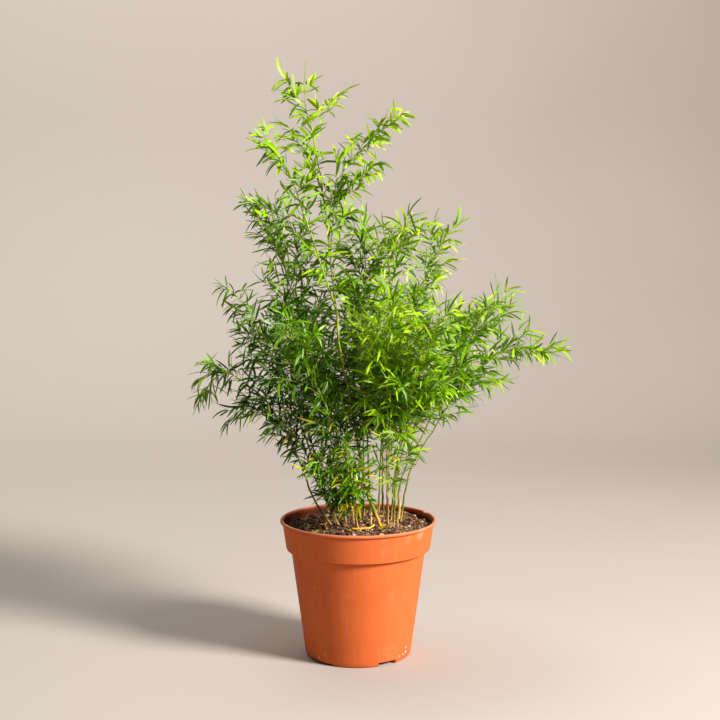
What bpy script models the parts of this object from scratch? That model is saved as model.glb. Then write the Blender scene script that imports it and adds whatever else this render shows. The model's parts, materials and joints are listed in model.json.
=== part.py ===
"""A potted asparagus fern: a round plastic pot full of compost, and the leafy stems that stand in it.

Metres, +Z up, and -Y faces the viewer. Every size and place below is measured from the middle of the pot's
foot. The finished pieces are then placed so that the origin is the middle of the whole plant's footprint, on
the surface that the pot stands on.
"""

import math
import random

import bmesh
import bpy
import numpy as np

# The middle of the whole plant's footprint, from the pot's axis
FOOTPRINT_MIDDLE = (0.0197, 0.0160)

# Pot, turned about Z
RIM_R = 0.075
POT_H = 0.131
TURN_STEPS = 32
BEAD_H = 0.003
BEAD_CORNER = 0.0008
BEAD_W = 0.0029
COLLAR_TOP_R = 0.0728
COLLAR_LOW_R = 0.0692
COLLAR_LOW_Z = 0.1034
STEP_H = 0.0012
STEP_CORNER = 0.0004
# The step stands this much higher inside, which keeps the wall's thickness
STEP_RISE = 0.0014
BODY_TOP_R = 0.0645
BODY_LOW_R = 0.0514
WALL = 0.0017
FOOT_R = 0.0490
FOOT_IN_R = 0.0465
FLOOR_Z = 0.0048
FLOOR_T = 0.0019
EDGE_H = 0.0050
FOOT_CORNER = 0.0012
MOUTH_DROP = 0.0004

# A nick in the rim: the angle of its middle from +X, the angle it spans and its depth
RIM_NICK = (24, 6, 0.0009)

# Notches in the foot: the angle of the middle from +X, the angle it spans and its height
FOOT_NOTCHES = ((-57, 22, 0.0043), (-141, 46, 0.0020), (123, 22, 0.0043), (39, 46, 0.0020))
DRAIN_R = 0.0040
DRAIN_AT_R = 0.0375
DRAINS_FROM = -46

# Soil
SOIL_Z = 0.1256
SOIL_RINGS = (0.0, 0.016, 0.031, 0.045, 0.058)
GAP = 0.00035

# Leafy stems
GOLDEN_TURN = math.radians(137.5)
STEM_RUNS = 8
STEM_SIDES = 6
STEM_FOOT_R = 0.00105
STEM_TIP_R = 0.00050
ROOTED = 0.026
SPRAY_W = 0.0013
SPRAY_T = 0.0011
NECK_W = 0.0009
NECK_T = 0.0008
BLADE_W = 0.0027
BLADE_T = 0.0009
BLADE_LENGTHS = (0.014, 0.019)
TIP_BLADE_L = 0.015
CLEARANCE = 0.0006
RIM_CLEAR = 0.006
# Where a spray or a blade that is in another's way is tried instead
SPRAY_SHIFTS = ((0, 0, 0), (0, .006, 0), (0, -.006, 0), (0, 0, .006), (0, 0, -.006), (0, .012, 0),
                (0, -.012, 0))
BLADE_NUDGES = (0, 0.6, -0.6, 1.2, -1.2, 2.0)

# The points along a spray as shares of its length, and where its side blades begin and end
SPRAY_AT = (0.0, 0.07, 0.38, 0.66, 0.83, 1.0)
SIDE_BLADES_AT = (0.30, 0.56)
# A spray longer than this has one more side blade for each further stretch, up to the wider share
LONG_SPRAY = 0.060
LONG_STRETCH = 0.010
LONG_BLADES_AT = (0.18, 0.68)
WELD = 1e-6

# Each leafy stem: the points that it passes through from the soil to its tip, the share of its length
# where leaves begin, how many sprays the rule adds and how far they reach, and the sprays placed by hand,
# each the share of the stem where it leaves and its tip.
STEMS = {
    "tall_frond": dict(
        foot_r=0.0018, runs=14,
        route=((.022, -.015, .125), (.008, -.016, .162), (.000, -.014, .205), (-.009, -.010, .255),
               (-.017, -.005, .292), (-.0205, .000, .330), (-.024, .003, .357), (-.027, .006, .386),
               (-.0315, .009, .427), (-.0375, .012, .468), (-.0445, .014, .506), (-.049, .014, .518),
               (-.058, .014, .530), (-.065, .013, .543)),
        leafy=.62, fill=3, reach=.026,
        tips=((.775, (-.077, .022, .515)), (.90, (-.007, .010, .543)), (.96, (-.050, .022, .558)))),
    "upper_left": dict(
        route=((-.012, .009, .125), (-.022, .016, .214), (-.048, .022, .300), (-.065, .022, .352),
               (-.080, .018, .392), (-.106, .014, .407)),
        leafy=.40, fill=5, reach=.050,
        tips=((.62, (-.101, .006, .366)), (.74, (-.052, .030, .420)), (.86, (-.076, .002, .428)))),
    "left_high": dict(
        route=((-.022, .006, .125), (-.037, .004, .167), (-.052, .000, .214), (-.074, -.006, .271),
               (-.096, -.010, .321), (-.117, -.010, .348), (-.138, -.006, .359)),
        leafy=.34, fill=6, reach=.050,
        tips=((.55, (-.120, -.030, .296)), (.66, (-.126, .012, .318)), (.76, (-.123, -.026, .340)))),
    "left_arching": dict(
        route=((-.026, .000, .125), (-.042, -.006, .150), (-.053, -.010, .181), (-.066, -.012, .214),
               (-.091, -.014, .250), (-.123, -.014, .273), (-.145, -.012, .270), (-.158, -.010, .256)),
        leafy=.36, fill=6, reach=.046,
        tips=((.62, (-.127, -.036, .236)), (.80, (-.155, .006, .283)), (.88, (-.157, -.020, .226)))),
    "left_low": dict(
        route=((-.018, -.006, .125), (-.038, -.016, .167), (-.053, -.024, .205), (-.079, -.030, .235),
               (-.107, -.034, .241), (-.129, -.034, .222)),
        leafy=.34, fill=6, reach=.042,
        tips=((.52, (-.066, -.040, .190)), (.66, (-.091, -.056, .216)), (.78, (-.112, -.018, .226)))),
    "low_left_front": dict(
        route=((-.010, -.014, .125), (-.022, -.024, .158), (-.032, -.038, .186), (-.046, -.050, .203)),
        leafy=.20, fill=4, reach=.038,
        tips=((.40, (-.050, -.036, .158)), (.62, (-.014, -.058, .192)), (.75, (-.062, -.062, .186)))),
    "low_front": dict(
        route=((.000, -.018, .125), (-.006, -.030, .162), (-.008, -.044, .196), (-.014, -.056, .222)),
        leafy=.24, fill=4, reach=.036,
        tips=((.42, (.010, -.050, .160)), (.64, (.016, -.060, .205)))),
    "centre": dict(
        route=((.012, .006, .125), (.010, .006, .180), (.007, .010, .243), (.004, .012, .309),
               (.007, .012, .366), (.004, .010, .424)),
        leafy=.42, fill=6, reach=.050,
        tips=((.82, (.036, .024, .404)),)),
    "dome_left": dict(
        route=((.024, .028, .125), (.024, .026, .196), (.024, .020, .262), (.028, .010, .328),
               (.037, .002, .380), (.044, -.004, .411), (.050, -.008, .432)),
        leafy=.40, fill=5, reach=.048,
        tips=((.76, (.019, -.026, .418)), (.84, (.073, -.014, .419)))),
    "dome_right": dict(
        route=((.028, .022, .125), (.031, .028, .205), (.040, .032, .271), (.054, .032, .333),
               (.070, .030, .373), (.087, .026, .404), (.102, .022, .421)),
        leafy=.40, fill=6, reach=.046,
        tips=((.68, (.084, .006, .366)), (.78, (.097, .010, .382)), (.84, (.070, .034, .424)))),
    "right_high": dict(
        route=((.038, .008, .125), (.042, .006, .169), (.063, .000, .215), (.080, -.004, .252),
               (.101, -.008, .290), (.123, -.010, .326), (.145, -.010, .359)),
        leafy=.38, fill=6, reach=.048,
        tips=((.62, (.106, -.020, .342)), (.74, (.128, .014, .350)), (.84, (.162, -.014, .331)))),
    "right_arching": dict(
        route=((.041, .014, .125), (.051, .012, .177), (.073, .010, .216), (.092, .008, .248),
               (.120, .006, .279), (.148, .004, .295), (.172, .002, .293), (.194, .000, .297)),
        leafy=.36, fill=5, reach=.046,
        tips=((.58, (.150, -.024, .262)), (.66, (.179, .014, .315)), (.80, (.200, -.010, .283)))),
    "right_low": dict(
        route=((.032, .018, .125), (.037, .026, .177), (.051, .034, .219), (.077, .040, .250),
               (.110, .044, .264), (.139, .044, .248)),
        leafy=.34, fill=5, reach=.042,
        tips=((.42, (.084, .030, .204)), (.70, (.109, .020, .234)))),
    "front_right": dict(
        route=((.034, -.004, .125), (.036, -.012, .177), (.042, -.024, .224), (.055, -.046, .276),
               (.070, -.064, .316), (.086, -.078, .343)),
        leafy=.38, fill=5, reach=.048,
        tips=((.56, (.096, -.070, .262)), (.78, (.056, -.094, .338)))),
    "front_centre": dict(
        route=((.029, .003, .125), (.027, -.017, .190), (.026, -.040, .262), (.028, -.066, .318),
               (.034, -.092, .360)),
        leafy=.40, fill=6, reach=.046,
        tips=((.70, (-.008, -.086, .326)),)),
    "front_left": dict(
        route=((-.012, -.004, .125), (-.022, -.026, .214), (-.040, -.054, .271), (-.056, -.078, .307),
               (-.072, -.096, .330)),
        leafy=.36, fill=5, reach=.048,
        tips=((.62, (-.094, -.082, .274)), (.80, (-.034, -.104, .322)))),
    "back_right": dict(
        route=((.020, .038, .125), (.026, .058, .224), (.044, .088, .290), (.068, .116, .341)),
        leafy=.36, fill=4, reach=.050,
        tips=((.66, (.080, .086, .284)), (.80, (.030, .116, .346)))),
    "back_left": dict(
        route=((-.006, .034, .125), (-.020, .060, .224), (-.044, .090, .290), (-.066, .114, .341)),
        leafy=.36, fill=4, reach=.050,
        tips=((.64, (-.086, .092, .286)), (.80, (-.036, .118, .350)))),
    "back_centre": dict(
        route=((.006, .040, .125), (.004, .066, .230), (-.002, .098, .305), (-.006, .124, .362)),
        leafy=.38, fill=5, reach=.048,
        tips=((.62, (.010, .128, .290)),)),
    "left_back": dict(
        route=((-.024, .018, .125), (-.040, .030, .180), (-.058, .044, .234), (-.086, .060, .284),
               (-.110, .070, .312)),
        leafy=.36, fill=4, reach=.048,
        tips=((.60, (-.120, .050, .262)), (.82, (-.090, .084, .330)))),
    "right_back": dict(
        route=((.034, .030, .125), (.044, .044, .190), (.066, .056, .244), (.098, .070, .300),
               (.128, .078, .330)),
        leafy=.36, fill=5, reach=.048,
        tips=((.58, (.126, .056, .270)), (.82, (.104, .088, .342)))),
}

# The boughs that fork off the tall frond, in the same node: one to the right and one to the left
BOUGHS_OF = "tall_frond"
BOUGHS = (
    dict(route=((-.0262, .004, .383), (-.0245, .002, .408), (-.0225, .000, .433), (-.0205, -.002, .460),
                (-.0202, -.003, .482)),
         runs=4, leafy=.20, fill=2, reach=.024,
         tips=((.22, (.010, -.002, .430)), (.50, (.033, -.010, .475)), (.80, (.0575, -.005, .518)))),
    dict(route=((-.0195, .000, .328), (-.028, -.004, .353), (-.0365, -.007, .379), (-.043, -.010, .400),
                (-.0525, -.010, .427), (-.0635, -.008, .458), (-.0755, -.004, .476), (-.083, .000, .490)),
         runs=7, leafy=.22, fill=3, reach=.030,
         tips=((.32, (-.111, .004, .439)), (.62, (-.037, -.024, .478)), (.84, (-.107, .004, .490)),
               (.93, (-.0925, .004, .514)))),
)

# Dry pieces: the forked twig and the fallen stem lie on the soil, and the stubs of old stems stand in it,
# each from its foot to its top with its height and radius
FORK_STALK = ((-.0296, -.0300), (-.0311, -.0178), (-.0320, -.0075))
FORK_ARMS = (((-.0320, -.0075), (-.0342, -.0080), (-.0368, -.0092)),
             ((-.0320, -.0075), (-.0306, -.0010), (-.0288, .0062)))
FALLEN_STEM = ((-.0056, -.0280), (.0002, -.0262), (.0056, -.0226), (.0112, -.0196), (.0168, -.0120))
DRY_R = 0.0010
DRY_LIFT = 0.0007
STUB_ROOTED = 0.012
STUBS = {
    "dry_stub_1": ((.0400, .0250), (.0408, .0246), 0.018, 0.0012),
    "dry_stub_2": ((-.0045, -.0026), (-.0055, -.0022), 0.013, 0.0013),
    "dry_stub_3": ((-.0150, .0175), (-.0158, .0190), 0.009, 0.0011),
    "dry_stub_4": ((.0120, -.0030), (.0124, -.0040), 0.012, 0.0011),
}

# Colours, as linear red, green, blue, and roughness
TERRACOTTA = ((0.60, 0.13, 0.035), 0.55)
COMPOST = ((0.045, 0.022, 0.012), 0.95)
LEAF_GREEN = ((0.13, 0.30, 0.03), 0.50)
DRY_STRAW = ((0.55, 0.33, 0.10), 0.75)


def clear_scene():
    for obj in list(bpy.data.objects):
        bpy.data.objects.remove(obj)


def new_collection(name):
    collection = bpy.data.collections.new(name)
    bpy.context.scene.collection.children.link(collection)
    return collection


def principled(name, look):
    colour, roughness = look
    material = bpy.data.materials.new(name)
    material.use_nodes = True
    shader = material.node_tree.nodes["Principled BSDF"]
    shader.inputs["Base Color"].default_value = (*colour, 1)
    shader.inputs["Roughness"].default_value = roughness
    shader.inputs["Metallic"].default_value = 0
    return material


def add_mesh(name, vertices, faces, collection):
    mesh = bpy.data.meshes.new(name)
    mesh.from_pydata([tuple(v) for v in vertices], [], faces)
    obj = bpy.data.objects.new(name, mesh)
    collection.objects.link(obj)
    return obj


def bake(obj, weld=True):
    """Replaces an object by its evaluated mesh, with its caps or seams welded and its faces pointing out."""
    graph = bpy.context.evaluated_depsgraph_get()
    mesh = bpy.data.meshes.new_from_object(obj.evaluated_get(graph))
    name = obj.name
    homes = list(obj.users_collection)
    obj.name = name + "_source"
    baked = bpy.data.objects.new(name, mesh)
    baked.matrix_world = obj.matrix_world
    for home in homes:
        home.objects.link(baked)
    bpy.data.objects.remove(obj)
    if not weld:
        return baked
    work = bmesh.new()
    work.from_mesh(mesh)
    bmesh.ops.remove_doubles(work, verts=work.verts, dist=WELD)
    bmesh.ops.recalc_face_normals(work, faces=work.faces)
    work.to_mesh(mesh)
    work.free()
    return baked


def turned(name, profile, collection):
    """A profile of (radius, height) points from +X, turned about Z."""
    edges = [(i, i + 1) for i in range(len(profile) - 1)]
    mesh = bpy.data.meshes.new(name)
    mesh.from_pydata([(r, 0, z) for r, z in profile], edges, [])
    obj = bpy.data.objects.new(name, mesh)
    collection.objects.link(obj)
    screw = obj.modifiers.new("Turn", "SCREW")
    screw.steps = TURN_STEPS
    screw.render_steps = TURN_STEPS
    screw.use_merge_vertices = True
    screw.merge_threshold = 0.00005
    return bake(obj)


def rod(name, route, radii, collection):
    """A six-sided rod along a route, with a radius at each point and filled ends."""
    curve = bpy.data.curves.new(name, "CURVE")
    curve.dimensions = "3D"
    curve.bevel_depth = 1
    curve.bevel_resolution = STEM_SIDES // 2 - 2
    curve.use_fill_caps = True
    spline = curve.splines.new("POLY")
    spline.points.add(len(route) - 1)
    for point, at, radius in zip(spline.points, route, radii):
        point.co = (*at, 1)
        point.radius = radius
    obj = bpy.data.objects.new(name, curve)
    collection.objects.link(obj)
    return bake(obj)


def cut(obj, cutters):
    """Cuts each object of a collection out of this one."""
    boolean = obj.modifiers.new("Cut", "BOOLEAN")
    boolean.operation = "DIFFERENCE"
    boolean.operand_type = "COLLECTION"
    boolean.collection = cutters
    return bake(obj, weld=False)


# Routes

def unit(v):
    return v / max(np.linalg.norm(v), 1e-12)


def smooth(points, count):
    """count + 1 points at even distances along a Catmull-Rom curve through the given points."""
    p = np.array(points, float)
    p = np.vstack([2 * p[0] - p[1], p, 2 * p[-1] - p[-2]])
    fine = []
    for i in range(1, len(p) - 2):
        for t in np.arange(0, 1, 1 / 16):
            fine.append(0.5 * (2 * p[i] + (p[i + 1] - p[i - 1]) * t
                               + (2 * p[i - 1] - 5 * p[i] + 4 * p[i + 1] - p[i + 2]) * t ** 2
                               + (3 * p[i] - p[i - 1] - 3 * p[i + 1] + p[i + 2]) * t ** 3))
    fine = np.array(fine + [p[-2]])
    run = np.concatenate([[0], np.cumsum(np.linalg.norm(np.diff(fine, axis=0), axis=1))])
    at = np.linspace(0, run[-1], count + 1)
    return np.stack([np.interp(at, run, fine[:, k]) for k in range(3)], 1)


def along(route, share):
    """The point and the direction at a share of a route's length."""
    runs = np.linalg.norm(np.diff(route, axis=0), axis=1)
    at = min(max(share, 0), 1) * runs.sum()
    i = min(int(np.searchsorted(np.cumsum(runs), at)), len(runs) - 1)
    ahead = unit(route[i + 1] - route[i])
    return route[i] + ahead * (at - runs[:i].sum()), ahead


def across(direction):
    """Two directions at right angles to this one, the first of them level."""
    side = unit(np.cross(direction, (0, 0, 1)) + 1e-9)
    return side, np.cross(side, direction)


def arc(start, ahead, tip):
    """A spray's points from start to tip, on a parabola that leaves a little towards ahead and upwards."""
    span = np.linalg.norm(tip - start)
    middle = start + (tip - start) * 0.45 + ahead * span * 0.16 + np.array((0, 0, 0.10 * span))
    t = np.array(SPRAY_AT)[:, None]
    return start * (1 - t) ** 2 + middle * 2 * t * (1 - t) + tip * t ** 2


# Room between the stems

class Room:
    """The space that the pieces take, as short round rods, so that no piece grows into another's."""

    def __init__(self):
        self.starts = np.zeros((0, 3))
        self.ends = np.zeros((0, 3))
        self.radii = np.zeros(0)
        self.owners = []

    def take(self, owner, route, radius):
        route = np.asarray(route)
        self.starts = np.vstack([self.starts, route[:-1]])
        self.ends = np.vstack([self.ends, route[1:]])
        self.radii = np.append(self.radii, np.full(len(route) - 1, radius))
        self.owners += [owner] * (len(route) - 1)

    def has(self, owner, route, radius):
        """Whether a rod along the route stays clear of the soil, the rim and all other nodes' pieces."""
        route = np.asarray(route)
        reach = np.hypot(route[:, 0], route[:, 1])
        if (route[reach < RIM_R + RIM_CLEAR, 2] < POT_H + RIM_CLEAR).any():
            return False
        other = np.array([name != owner for name in self.owners])
        apart = rod_distances(route[:-1], route[1:], self.starts[other], self.ends[other])
        return bool((apart > radius + self.radii[other] + CLEARANCE).all())


def rod_distances(a0, a1, b0, b1):
    """The shortest distance between each straight piece a0-a1 and each piece b0-b1."""
    u = (a1 - a0)[:, None]
    v = (b1 - b0)[None]
    w = a0[:, None] - b0[None]
    uu = (u * u).sum(-1)
    uv = (u * v).sum(-1)
    vv = (v * v).sum(-1)
    uw = (u * w).sum(-1)
    vw = (v * w).sum(-1)
    s = np.clip((uv * vw - vv * uw) / np.maximum(uu * vv - uv * uv, 1e-18), 0, 1)
    t = np.clip((uv * s + vw) / np.maximum(vv, 1e-18), 0, 1)
    s = np.clip((uv * t - uw) / np.maximum(uu, 1e-18), 0, 1)
    return np.linalg.norm(w + s[..., None] * u - t[..., None] * v, axis=-1)


# Growth

def leafy_stems():
    """(node, plan, route) of each stem, and of the boughs last."""
    plans = list(STEMS.items()) + [(BOUGHS_OF, bough) for bough in BOUGHS]
    return [(node, plan, smooth(plan["route"], plan.get("runs", STEM_RUNS))) for node, plan in plans]


def spray_routes(node, plan, stem, room):
    """The sprays of one stem that have room, each as its route: those placed by hand, then the rule's."""
    rng = random.Random(f"{node} {plan['fill']} sprays")
    wanted = []
    for share, tip in plan["tips"]:
        point, ahead = along(stem, share)
        wanted.append((point, ahead, np.array(tip)))
    turn = rng.uniform(0, math.tau)
    for k in range(plan["fill"]):
        part = (k + 0.5) / plan["fill"]
        point, ahead = along(stem, plan["leafy"] + (0.96 - plan["leafy"]) * part)
        side, up = across(ahead)
        turn += GOLDEN_TURN
        lean = math.radians(rng.uniform(48, 68))
        out = side * math.cos(turn) + up * math.sin(turn)
        length = plan["reach"] * (1.15 - 0.6 * part) * rng.uniform(0.8, 1.15)
        way = ahead * math.cos(lean) + out * math.sin(lean) - np.array((0, 0, 0.12))
        wanted.append((point, ahead, point + way * length))
    kept = []
    for point, ahead, tip in wanted:
        for shift in SPRAY_SHIFTS:
            route = arc(point, ahead, tip + np.array(shift))
            if room.has(node, route[1:], BLADE_W / 2):
                room.take(node, route, SPRAY_W / 2)
                kept.append(route)
                break
    return kept


def blade_shares(spray):
    """Where a spray's side blades leave it: two on a short one, more on a long one."""
    length = np.linalg.norm(np.diff(spray, axis=0), axis=1).sum()
    if length < LONG_SPRAY:
        return SIDE_BLADES_AT
    return np.linspace(*LONG_BLADES_AT, 3 + int((length - LONG_SPRAY) / LONG_STRETCH))


def blade_routes(node, seed, spray, room):
    """The cladodes at the sides of one spray that have room, each as its root, belly and tip."""
    rng = random.Random(f"{seed} blades")
    turn = rng.uniform(0, math.tau)
    kept = []
    for share in blade_shares(spray):
        point, ahead = along(spray, share + rng.uniform(-0.04, 0.04))
        side, up = across(ahead)
        length = rng.uniform(*BLADE_LENGTHS)
        lean = math.radians(rng.uniform(40, 60))
        turn += GOLDEN_TURN
        for nudge in BLADE_NUDGES:
            out = side * math.cos(turn + nudge) + up * math.sin(turn + nudge)
            belly = point + (ahead * math.cos(lean) + out * math.sin(lean)) * length * 0.5
            tip = belly + (ahead * math.cos(lean * 0.6) + out * math.sin(lean * 0.6)) * length * 0.5
            if room.has(node, (point + (belly - point) * 0.3, belly, tip), BLADE_W / 2):
                room.take(node, (point, belly, tip), BLADE_W / 2)
                kept.append((point, belly, tip))
                break
    return kept


# Solids

def section(centre, ahead, width, depth):
    """A blade's three corners: its two edges and its keel."""
    side, up = across(ahead)
    return [centre - side * width / 2 + up * depth / 3, centre + side * width / 2 + up * depth / 3,
            centre - up * depth * 2 / 3]


def tapered(name, root, sections, tip, collection):
    """A three-sided body from a pointed root through its sections to a pointed tip."""
    vertices = [corner for corners in sections for corner in corners] + [root, tip]
    last = (len(sections) - 1) * 3
    faces = []
    for k in range(3):
        j = (k + 1) % 3
        faces += [(len(vertices) - 2, k, j), (last + k, len(vertices) - 1, last + j)]
        for ring in range(0, last, 3):
            faces += [(ring + k, ring + k + 3, ring + j), (ring + j, ring + k + 3, ring + j + 3)]
    obj = add_mesh(name, vertices, faces, collection)
    work = bmesh.new()
    work.from_mesh(obj.data)
    bmesh.ops.recalc_face_normals(work, faces=work.faces)
    work.to_mesh(obj.data)
    work.free()
    return obj


def spray_solid(name, route, collection):
    """A thin stalk that ends in a cladode."""
    sizes = ((SPRAY_W, SPRAY_T), (SPRAY_W, SPRAY_T), (NECK_W, NECK_T), (BLADE_W, BLADE_T))
    rings = [section(route[i + 1], unit(route[i + 2] - route[i]), *size) for i, size in enumerate(sizes)]
    return tapered(name, route[0], rings, route[-1], collection)


def blade_solid(name, points, collection):
    root, belly, tip = points
    return tapered(name, root, [section(belly, unit(tip - root), BLADE_W, BLADE_T)], tip, collection)


def rooted(route, depth):
    """A stem's route with its buried end added, straight down."""
    return np.vstack([route[0] - np.array((0, 0, depth)), route])


def stem_radii(count, foot_r):
    return np.concatenate([[foot_r], np.linspace(foot_r, STEM_TIP_R, count - 1)])


def join(obj, pieces):
    """Fuses a collection's objects onto this one, fills hollows that this seals and drops loose scraps."""
    boolean = obj.modifiers.new("Join", "BOOLEAN")
    boolean.operation = "UNION"
    boolean.operand_type = "COLLECTION"
    boolean.collection = pieces
    joined = bake(obj, weld=False)
    for piece in list(pieces.objects):
        bpy.data.objects.remove(piece)
    bpy.data.collections.remove(pieces)
    keep_largest_body(joined)
    return joined


def keep_largest_body(obj):
    work = bmesh.new()
    work.from_mesh(obj.data)
    left = set(work.verts)
    bodies = []
    while left:
        body = {left.pop()}
        edge_of = list(body)
        while edge_of:
            vert = edge_of.pop()
            for edge in vert.link_edges:
                other = edge.other_vert(vert)
                if other in left:
                    left.discard(other)
                    body.add(other)
                    edge_of.append(other)
        bodies.append(body)
    largest = max(bodies, key=len)
    scraps = [vert for body in bodies if body is not largest for vert in body]
    bmesh.ops.delete(work, geom=scraps, context="VERTS")
    work.to_mesh(obj.data)
    work.free()


def soil_height(x, y):
    """The height of the soil's surface: low mounds, a little deeper at the right."""
    mounds = (0.0007 * math.sin(95 * x + 1.1) * math.cos(80 * y - 0.4)
              + 0.0005 * math.sin(150 * x - 120 * y + 0.7) + 0.0003 * math.cos(210 * y + 60 * x))
    return SOIL_Z + mounds - 0.0010 * min(max((x - 0.025) / 0.04, 0), 1)


def inner_wall(z):
    """The inside radius of the pot at a height, following its three stretches."""
    step = COLLAR_LOW_Z + STEP_RISE
    return float(np.interp(z, [FLOOR_Z + FLOOR_T, step - STEP_H, step, POT_H - BEAD_H],
                           [BODY_LOW_R - WALL, BODY_TOP_R - WALL, COLLAR_LOW_R - WALL, COLLAR_TOP_R - WALL]))


def make_pot(collection):
    bead_low = POT_H - BEAD_H
    floor_top = FLOOR_Z + FLOOR_T
    step = COLLAR_LOW_Z + STEP_RISE
    inside = [(0, floor_top)] + [(inner_wall(z), z) for z in (floor_top, step - STEP_H, step, bead_low)]
    rim = [(RIM_R - BEAD_W, POT_H - MOUTH_DROP), (RIM_R - BEAD_W + BEAD_CORNER, POT_H),
           (RIM_R - BEAD_CORNER, POT_H), (RIM_R, POT_H - BEAD_CORNER), (RIM_R, bead_low + BEAD_CORNER),
           (RIM_R - BEAD_CORNER, bead_low)]
    outside = [(COLLAR_TOP_R, bead_low - MOUTH_DROP), (COLLAR_LOW_R, COLLAR_LOW_Z),
               (COLLAR_LOW_R - BEAD_CORNER, COLLAR_LOW_Z - STEP_CORNER),
               (BODY_TOP_R + MOUTH_DROP, COLLAR_LOW_Z - STEP_H),
               (BODY_TOP_R, COLLAR_LOW_Z - STEP_H - STEP_CORNER), (BODY_LOW_R, EDGE_H),
               (BODY_LOW_R - BEAD_CORNER, FOOT_CORNER), (FOOT_R, 0)]
    under = [(FOOT_IN_R, 0), (FOOT_IN_R - BEAD_CORNER, FLOOR_Z), (0, FLOOR_Z)]
    pot = turned("pot", inside + rim + outside + under, collection)
    cutters = new_collection("pot cutters")
    for number, (middle, span, height) in enumerate(FOOT_NOTCHES):
        wedge(f"notch {number}", middle, span, (FOOT_IN_R - 0.006, RIM_R), (-0.002, height), cutters)
        drain(f"drain {number}", math.radians(DRAINS_FROM + 90 * number), cutters)
    middle, span, depth = RIM_NICK
    wedge("rim nick", middle, span, (RIM_R - 0.008, RIM_R + 0.004), (POT_H - depth, POT_H + 0.002), cutters)
    hide_cutters(cutters)
    pot = cut(pot, cutters)
    finish(pot, "terracotta plastic", TERRACOTTA)
    return pot


def wedge(name, middle, span, radii, heights, collection):
    """A block between two radii and two heights, over an angle about Z."""
    angles = [math.radians(middle + span * side / 2) for side in (-1, 1)]
    plan = ((radii[0], angles[0]), (radii[1], angles[0]), (radii[1], angles[1]), (radii[0], angles[1]))
    corners = [(r * math.cos(a), r * math.sin(a), z) for z in heights for r, a in plan]
    faces = [(3, 2, 1, 0), (4, 5, 6, 7), (0, 1, 5, 4), (1, 2, 6, 5), (2, 3, 7, 6), (3, 0, 4, 7)]
    return add_mesh(name, corners, faces, collection)


def drain(name, angle, collection):
    """An upright cylinder through the floor."""
    work = bmesh.new()
    bmesh.ops.create_cone(work, cap_ends=True, segments=12, radius1=DRAIN_R, radius2=DRAIN_R, depth=0.006)
    mesh = bpy.data.meshes.new(name)
    work.to_mesh(mesh)
    work.free()
    obj = bpy.data.objects.new(name, mesh)
    obj.location = (DRAIN_AT_R * math.cos(angle), DRAIN_AT_R * math.sin(angle), FLOOR_Z + FLOOR_T / 2)
    collection.objects.link(obj)
    return obj


def hide_cutters(cutters):
    bpy.context.view_layer.update()
    for cutter in cutters.objects:
        cutter.hide_render = True
        cutter.display_type = "WIRE"
    cutters.hide_render = True


def make_soil(feet, collection):
    """The compost, with a hole round each foot in feet: {name: (route, radius)}."""
    bottom = FLOOR_Z + FLOOR_T + GAP
    edge_z = SOIL_Z
    top = [(r, SOIL_Z) for r in SOIL_RINGS] + [(inner_wall(edge_z) - GAP, edge_z)]
    step = COLLAR_LOW_Z + STEP_RISE
    side = [(inner_wall(step) - GAP, step + GAP), (inner_wall(step - STEP_H) - GAP, step - STEP_H + GAP),
            (inner_wall(bottom) - GAP, bottom), (0, bottom)]
    soil = turned("soil", top + side, collection)
    for vertex in soil.data.vertices:
        x, y, z = vertex.co
        if z > SOIL_Z - 0.0001 and math.hypot(x, y) < SOIL_RINGS[-1] + 0.002:
            vertex.co.z = soil_height(x, y)
    cutters = new_collection("soil cutters")
    for name, (route, radius) in feet.items():
        above = [i for i, point in enumerate(route) if point[2] > SOIL_Z + 0.004][0]
        hole = route[:above + 1].copy()
        hole[0] = hole[0] - unit(hole[1] - hole[0]) * 0.0005
        wide = (radius + GAP) / math.cos(math.pi / STEM_SIDES)
        rod(f"hole of {name}", hole, [wide] * len(hole), cutters)
    hide_cutters(cutters)
    soil = cut(soil, cutters)
    finish(soil, "compost", COMPOST)
    return soil


def lying(points):
    """A route that lies on the soil over these places."""
    return np.array([(x, y, soil_height(x, y) + DRY_R + DRY_LIFT) for x, y in points])


def make_dry_pieces(collection):
    """The twig and the fallen stem on the soil, and the stubs, whose feet stand in the soil."""
    arms = new_collection("fork arms")
    for number, arm in enumerate(FORK_ARMS):
        rod(f"fork arm {number}", lying(arm), (DRY_R * 0.95, DRY_R * 0.8, DRY_R * 0.6), arms)
    fork = rod("dry_fork", lying(FORK_STALK), (DRY_R * 0.8, DRY_R, DRY_R), collection)
    finish(join(fork, arms), "dry straw", DRY_STRAW)
    fallen = lying(FALLEN_STEM)
    fallen[-1, 2] += 0.0020
    radii = (DRY_R * 0.9, DRY_R, DRY_R, DRY_R, DRY_R * 0.8)
    finish(rod("fallen_stem", fallen, radii, collection), "dry straw", DRY_STRAW)
    feet = {}
    for name, (foot, top, height, radius) in STUBS.items():
        ends = np.array(((*foot, SOIL_Z), (*top, SOIL_Z + height)))
        buried = rooted([ends[0], ends.mean(axis=0), ends[1]], STUB_ROOTED)
        finish(rod(name, buried, [radius, radius, radius, radius * 0.7], collection), "dry straw", DRY_STRAW)
        feet[name] = (buried, radius)
    return feet


def finish(obj, name, look):
    obj.data.materials.clear()
    obj.data.materials.append(principled(name, look))
    obj.data.shade_smooth()
    obj.data.set_sharp_from_angle(angle=math.radians(35))


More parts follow.
